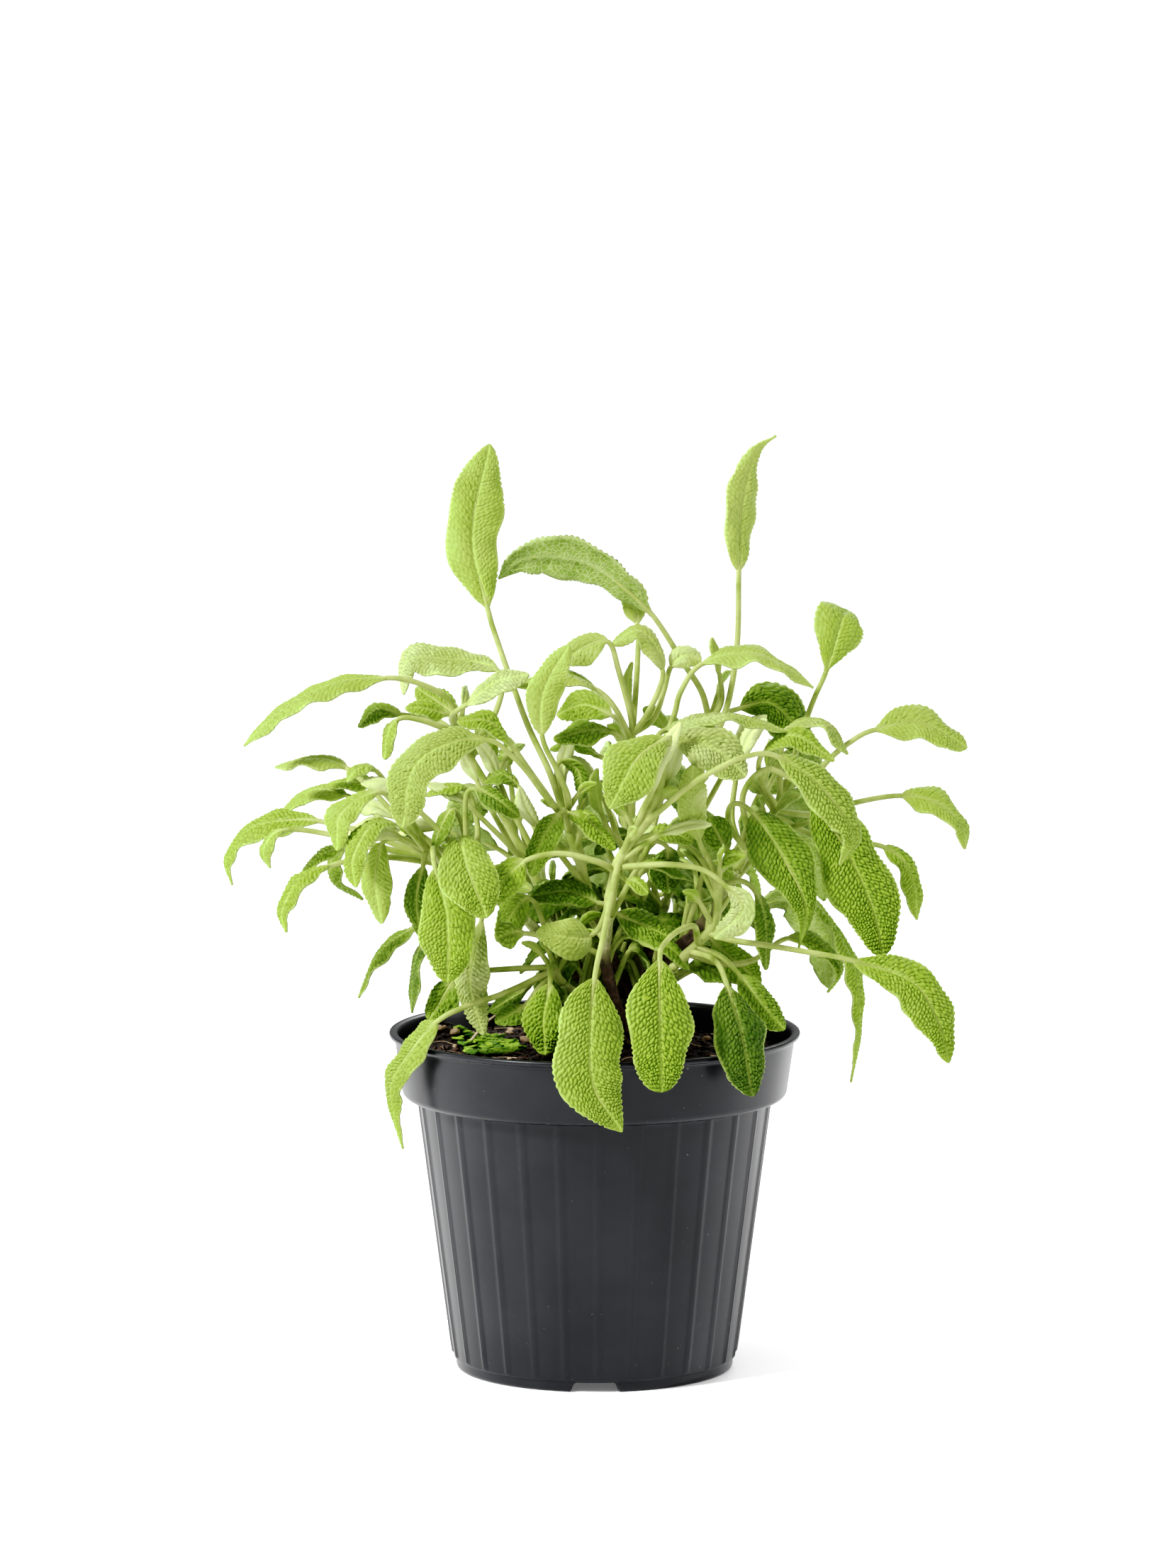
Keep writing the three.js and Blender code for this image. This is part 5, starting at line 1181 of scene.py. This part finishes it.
class Shader:
    """A node material with short calls for the nodes that the looks below share."""

    def __init__(self, name):
        self.material = bpy.data.materials.new(name)
        self.material.use_nodes = True
        self.nodes = self.material.node_tree.nodes
        self.links = self.material.node_tree.links

    def put(self, socket, value):
        """Link the socket to another node's output, or set it to a plain value or a hexadecimal colour."""
        if isinstance(value, bpy.types.NodeSocket):
            self.links.new(value, socket)
        else:
            socket.default_value = srgb(value) if isinstance(value, str) else value

    def node(self, kind, inputs, **settings):
        """A new node with its settings and inputs."""
        made = self.nodes.new(kind)
        for key, value in settings.items():
            setattr(made, key, value)
        for key, value in inputs.items():
            self.put(made.inputs[key], value)
        return made

    def attribute(self, name):
        """The point value of that name."""
        return self.node("ShaderNodeAttribute", {}, attribute_name=name).outputs["Fac"]

    def place(self):
        """The place on the object, in metres."""
        return self.node("ShaderNodeTexCoord", {}).outputs["Object"]

    def noise(self, scale, detail, roughness=0.55):
        """Noise about 0.5, as fine as the scale for each metre."""
        inputs = {"Vector": self.place(), "Scale": scale, "Detail": detail, "Roughness": roughness}
        return self.node("ShaderNodeTexNoise", inputs).outputs["Fac"]

    def span(self, value, low, high, to_low=0.0, to_high=1.0):
        """The value carried from one range to another, and held within it."""
        inputs = {"Value": value, "From Min": low, "From Max": high, "To Min": to_low, "To Max": to_high}
        return self.node("ShaderNodeMapRange", inputs).outputs[0]

    def grain(self, scale, detail, low, high, to_low=0.0, to_high=1.0):
        """Noise carried from one range to another."""
        return self.span(self.noise(scale, detail), low, high, to_low, to_high)

    def math(self, operation, a, b, clamp=False):
        """A sum, product or other result of two values."""
        return self.node("ShaderNodeMath", {0: a, 1: b}, operation=operation, use_clamp=clamp).outputs[0]

    def mix(self, share, a, b):
        """Colour a, with the share of colour b."""
        return self.node("ShaderNodeMix", {0: share, 6: a, 7: b}, data_type="RGBA").outputs[2]

    def ramp(self, share, stops):
        """The colour at the share on a scale of (place, colour) stops."""
        made = self.node("ShaderNodeValToRGB", {0: share})
        elements = made.color_ramp.elements
        while len(elements) < len(stops):
            elements.new(0.5)
        for element, (at, colour) in zip(elements, stops):
            element.position = at
            element.color = srgb(colour)
        return made.outputs[0]

    def bump(self, height, strength, distance, normal=None):
        """The surface's direction, roughened by a height."""
        inputs = {"Height": height, "Strength": strength, "Distance": distance}
        if normal is not None:
            inputs["Normal"] = normal
        return self.node("ShaderNodeBump", inputs).outputs[0]

    def set(self, **values):
        """Put the values on the surface and give the finished material."""
        for key, value in values.items():
            self.put(self.nodes["Principled BSDF"].inputs[key.replace("_", " ")], value)
        return self.material


def leaf_material():
    """Pebbled green above with painted shade in its valleys, pale and netted below, with a pale midrib and
    stalk.
    """
    shader = Shader("sage_leaf")
    vein, under = shader.attribute("vein"), shader.attribute("under")
    tone = shader.math("ADD", shader.attribute("tone"), shader.grain(60, 3, 0.3, 0.7, -0.08, 0.08))
    # Painted shade in part: low tones, from the dark kinds, take the dark end of the ramp.
    top = shader.ramp(tone, LEAF_TONES_AND_SHADE)
    # Painted shade: where relief is low, in the valleys between the pebbles, the top is mixed towards a
    # dark green.
    top = shader.mix(shader.span(shader.attribute("relief"), 0.0, 0.7, 0.46, 0.0), top, VALLEY_SHADE)
    top = shader.mix(shader.math("MULTIPLY", vein, 0.6), top, MIDRIB_COLOUR)
    cells = {"Vector": shader.place(), "Scale": 720.0}
    wall = shader.node("ShaderNodeTexVoronoi", cells, feature="DISTANCE_TO_EDGE").outputs["Distance"]
    net = shader.math("MULTIPLY", shader.span(wall, 0.0, 0.15, 1.0, 0.0), under)
    fine_vein = shader.math("MULTIPLY", net, 0.3)
    low_vein = shader.math("MAXIMUM", shader.math("MULTIPLY", vein, 0.45), fine_vein)
    low = shader.mix(low_vein, shader.ramp(tone, UNDER_TONES_AND_SHADE), UNDER_VEIN)
    blade = shader.mix(under, top, low)
    blade = shader.mix(shader.grain(900, 4, 0.4, 0.7, 0.0, 0.05), blade, FUZZ)
    petiole = shader.mix(shader.grain(140, 3, 0.35, 0.7), PETIOLE_PALE, PETIOLE_GREEN)
    return shader.set(
        Base_Color=shader.mix(shader.attribute("stalk"), blade, petiole),
        Roughness=shader.grain(300, 2, 0.3, 0.7, 0.48, 0.62),
        Normal=shader.bump(net, 0.5, 0.0003, shader.bump(shader.noise(1500, 3), 0.28, 0.0004)),
        Specular_IOR_Level=0.15, Sheen_Weight=0.04, Sheen_Roughness=0.4, Sheen_Tint=SHEEN)


def bark_material():
    """Brown fissured bark that turns green towards the tips of the branches."""
    shader = Shader("sage_bark")
    streak = shader.noise(240, 5, 0.65)
    young = shader.span(shader.attribute("young"), 0.65, 1.0)
    return shader.set(
        Base_Color=shader.mix(young, shader.ramp(streak, OLD_BARK), shader.ramp(streak, YOUNG_BARK)),
        Roughness=0.85,
        Normal=shader.bump(shader.noise(700, 4), 0.7, 0.0008))


def pot_material():
    """Satin black plastic with a little dust."""
    shader = Shader("pot_plastic")
    haze = shader.noise(35, 3)
    plastic = shader.mix(shader.span(haze, 0.35, 0.65), POT_DARK, POT_GREY)
    dust = shader.span(shader.noise(700, 2, 0.5), 0.75, 0.8, 0.0, 0.3)
    return shader.set(
        Base_Color=shader.mix(dust, plastic, POT_DUST),
        Roughness=shader.span(haze, 0.3, 0.7, 0.3, 0.34),
        Normal=shader.bump(shader.noise(1100, 2), 0.05, 0.0002),
        Specular_IOR_Level=0.2)


def soil_material():
    """Dark crumbly potting soil."""
    shader = Shader("potting_soil")
    return shader.set(
        Base_Color=shader.ramp(shader.noise(420, 5, 0.7), SOIL_TONES),
        Roughness=0.95,
        Normal=shader.bump(shader.noise(1500, 4), 0.8, 0.001))


def loose_material(name, colours):
    """Crumbs, chips, fibres and moss: one tone for each piece, with a fine grain."""
    shader = Shader(name)
    tone = shader.math("ADD", shader.attribute("tone"), shader.grain(900, 4, 0.3, 0.7, -0.2, 0.2), True)
    return shader.set(
        Base_Color=shader.mix(tone, *colours),
        Roughness=0.9,
        Normal=shader.bump(shader.noise(1800, 3), 0.6, 0.0006))


def make_floor():
    """A wide white floor that glows more and more further off."""
    mesh = bpy.data.meshes.new("floor")
    far = FLOOR_REACH
    mesh.from_pydata([(-far, -far, 0), (far, -far, 0), (far, far, 0), (-far, far, 0)], [], [(0, 1, 2, 3)])
    floor = bpy.data.objects.new("floor", mesh)
    bpy.context.scene.collection.objects.link(floor)
    shader = Shader("floor_white")
    away = shader.node("ShaderNodeVectorMath", {0: shader.place()}, operation="LENGTH").outputs["Value"]
    mesh.materials.append(shader.set(
        Base_Color=shader.mix(shader.grain(3, 3, 0.3, 0.7), *FLOOR_COLOURS),
        Roughness=0.6,
        Emission_Color="ffffff",
        Emission_Strength=shader.span(away, *GLOW_DISTANCES, FLOOR_GLOW, FAR_GLOW)))


def set_sky():
    """A white sky that is brighter overhead than at the horizon."""
    world = bpy.data.worlds.new("studio")
    bpy.context.scene.world = world
    world.use_nodes = True
    nodes, links = world.node_tree.nodes, world.node_tree.links
    split = nodes.new("ShaderNodeSeparateXYZ")
    links.new(nodes.new("ShaderNodeTexCoord").outputs["Generated"], split.inputs[0])
    rise = nodes.new("ShaderNodeMapRange")
    links.new(split.outputs["Z"], rise.inputs["Value"])
    rise.inputs["To Min"].default_value = SKY_LOW
    rise.inputs["To Max"].default_value = SKY_HIGH
    links.new(rise.outputs[0], nodes["Background"].inputs["Strength"])
    nodes["Background"].inputs["Color"].default_value = (1, 1, 1, 1)


def add_lamp(name, place, size, power):
    """A white lamp of the size (width, height) that is aimed at the plant."""
    light = bpy.data.lights.new(name, "AREA")
    light.shape = "RECTANGLE"
    light.size, light.size_y = size
    light.energy = power
    lamp = bpy.data.objects.new(name, light)
    lamp.location = place
    run = Vector(LAMP_AIM) - Vector(place)
    lamp.rotation_euler = run.to_track_quat("-Z", "Y").to_euler()
    bpy.context.scene.collection.objects.link(lamp)


def set_tones():
    """The tone curve of the picture."""
    view = bpy.context.scene.view_settings
    view.view_transform = "Standard"
    view.use_curve_mapping = True
    curve = view.curve_mapping.curves[3]
    for light, shown in TONES:
        curve.points.new(light, shown)
    view.curve_mapping.update()


def set_camera():
    """The camera in front of the plant, which looks down a little."""
    data = bpy.data.cameras.new("camera")
    data.lens = CAMERA_LENS_MM
    data.clip_end = CAMERA_SIGHT
    camera = bpy.data.objects.new("camera", data)
    camera.location = CAMERA_PLACE
    camera.rotation_euler = (math.radians(90 - CAMERA_PITCH_DEG), 0, 0)
    bpy.context.scene.collection.objects.link(camera)
    bpy.context.scene.camera = camera


def build_part():
    """Every piece of the plant, the soil and the pot."""
    rng = np.random.default_rng(SEED)
    leaf = leaf_material()
    for order, row in enumerate(SHOOTS):
        make_shoot(row, order, leaf)
    for row in FAR_SHOOTS:
        make_far_shoot(row, leaf)
    make_inner_leaves(leaf)
    make_crown(bark_material())
    make_pot(pot_material())
    make_soil(soil_material())
    make_crumbs(loose_material("crumbs", CRUMB_COLOURS), rng)
    make_chips(loose_material("bark_chips", CHIP_COLOURS), rng)
    make_moss(loose_material("moss", MOSS_COLOURS), rng)
    make_twigs(loose_material("twigs", TWIG_COLOURS), rng)


build_part()
make_floor()
set_sky()
for lamp_row in LAMPS:
    add_lamp(*lamp_row)
set_tones()
set_camera()
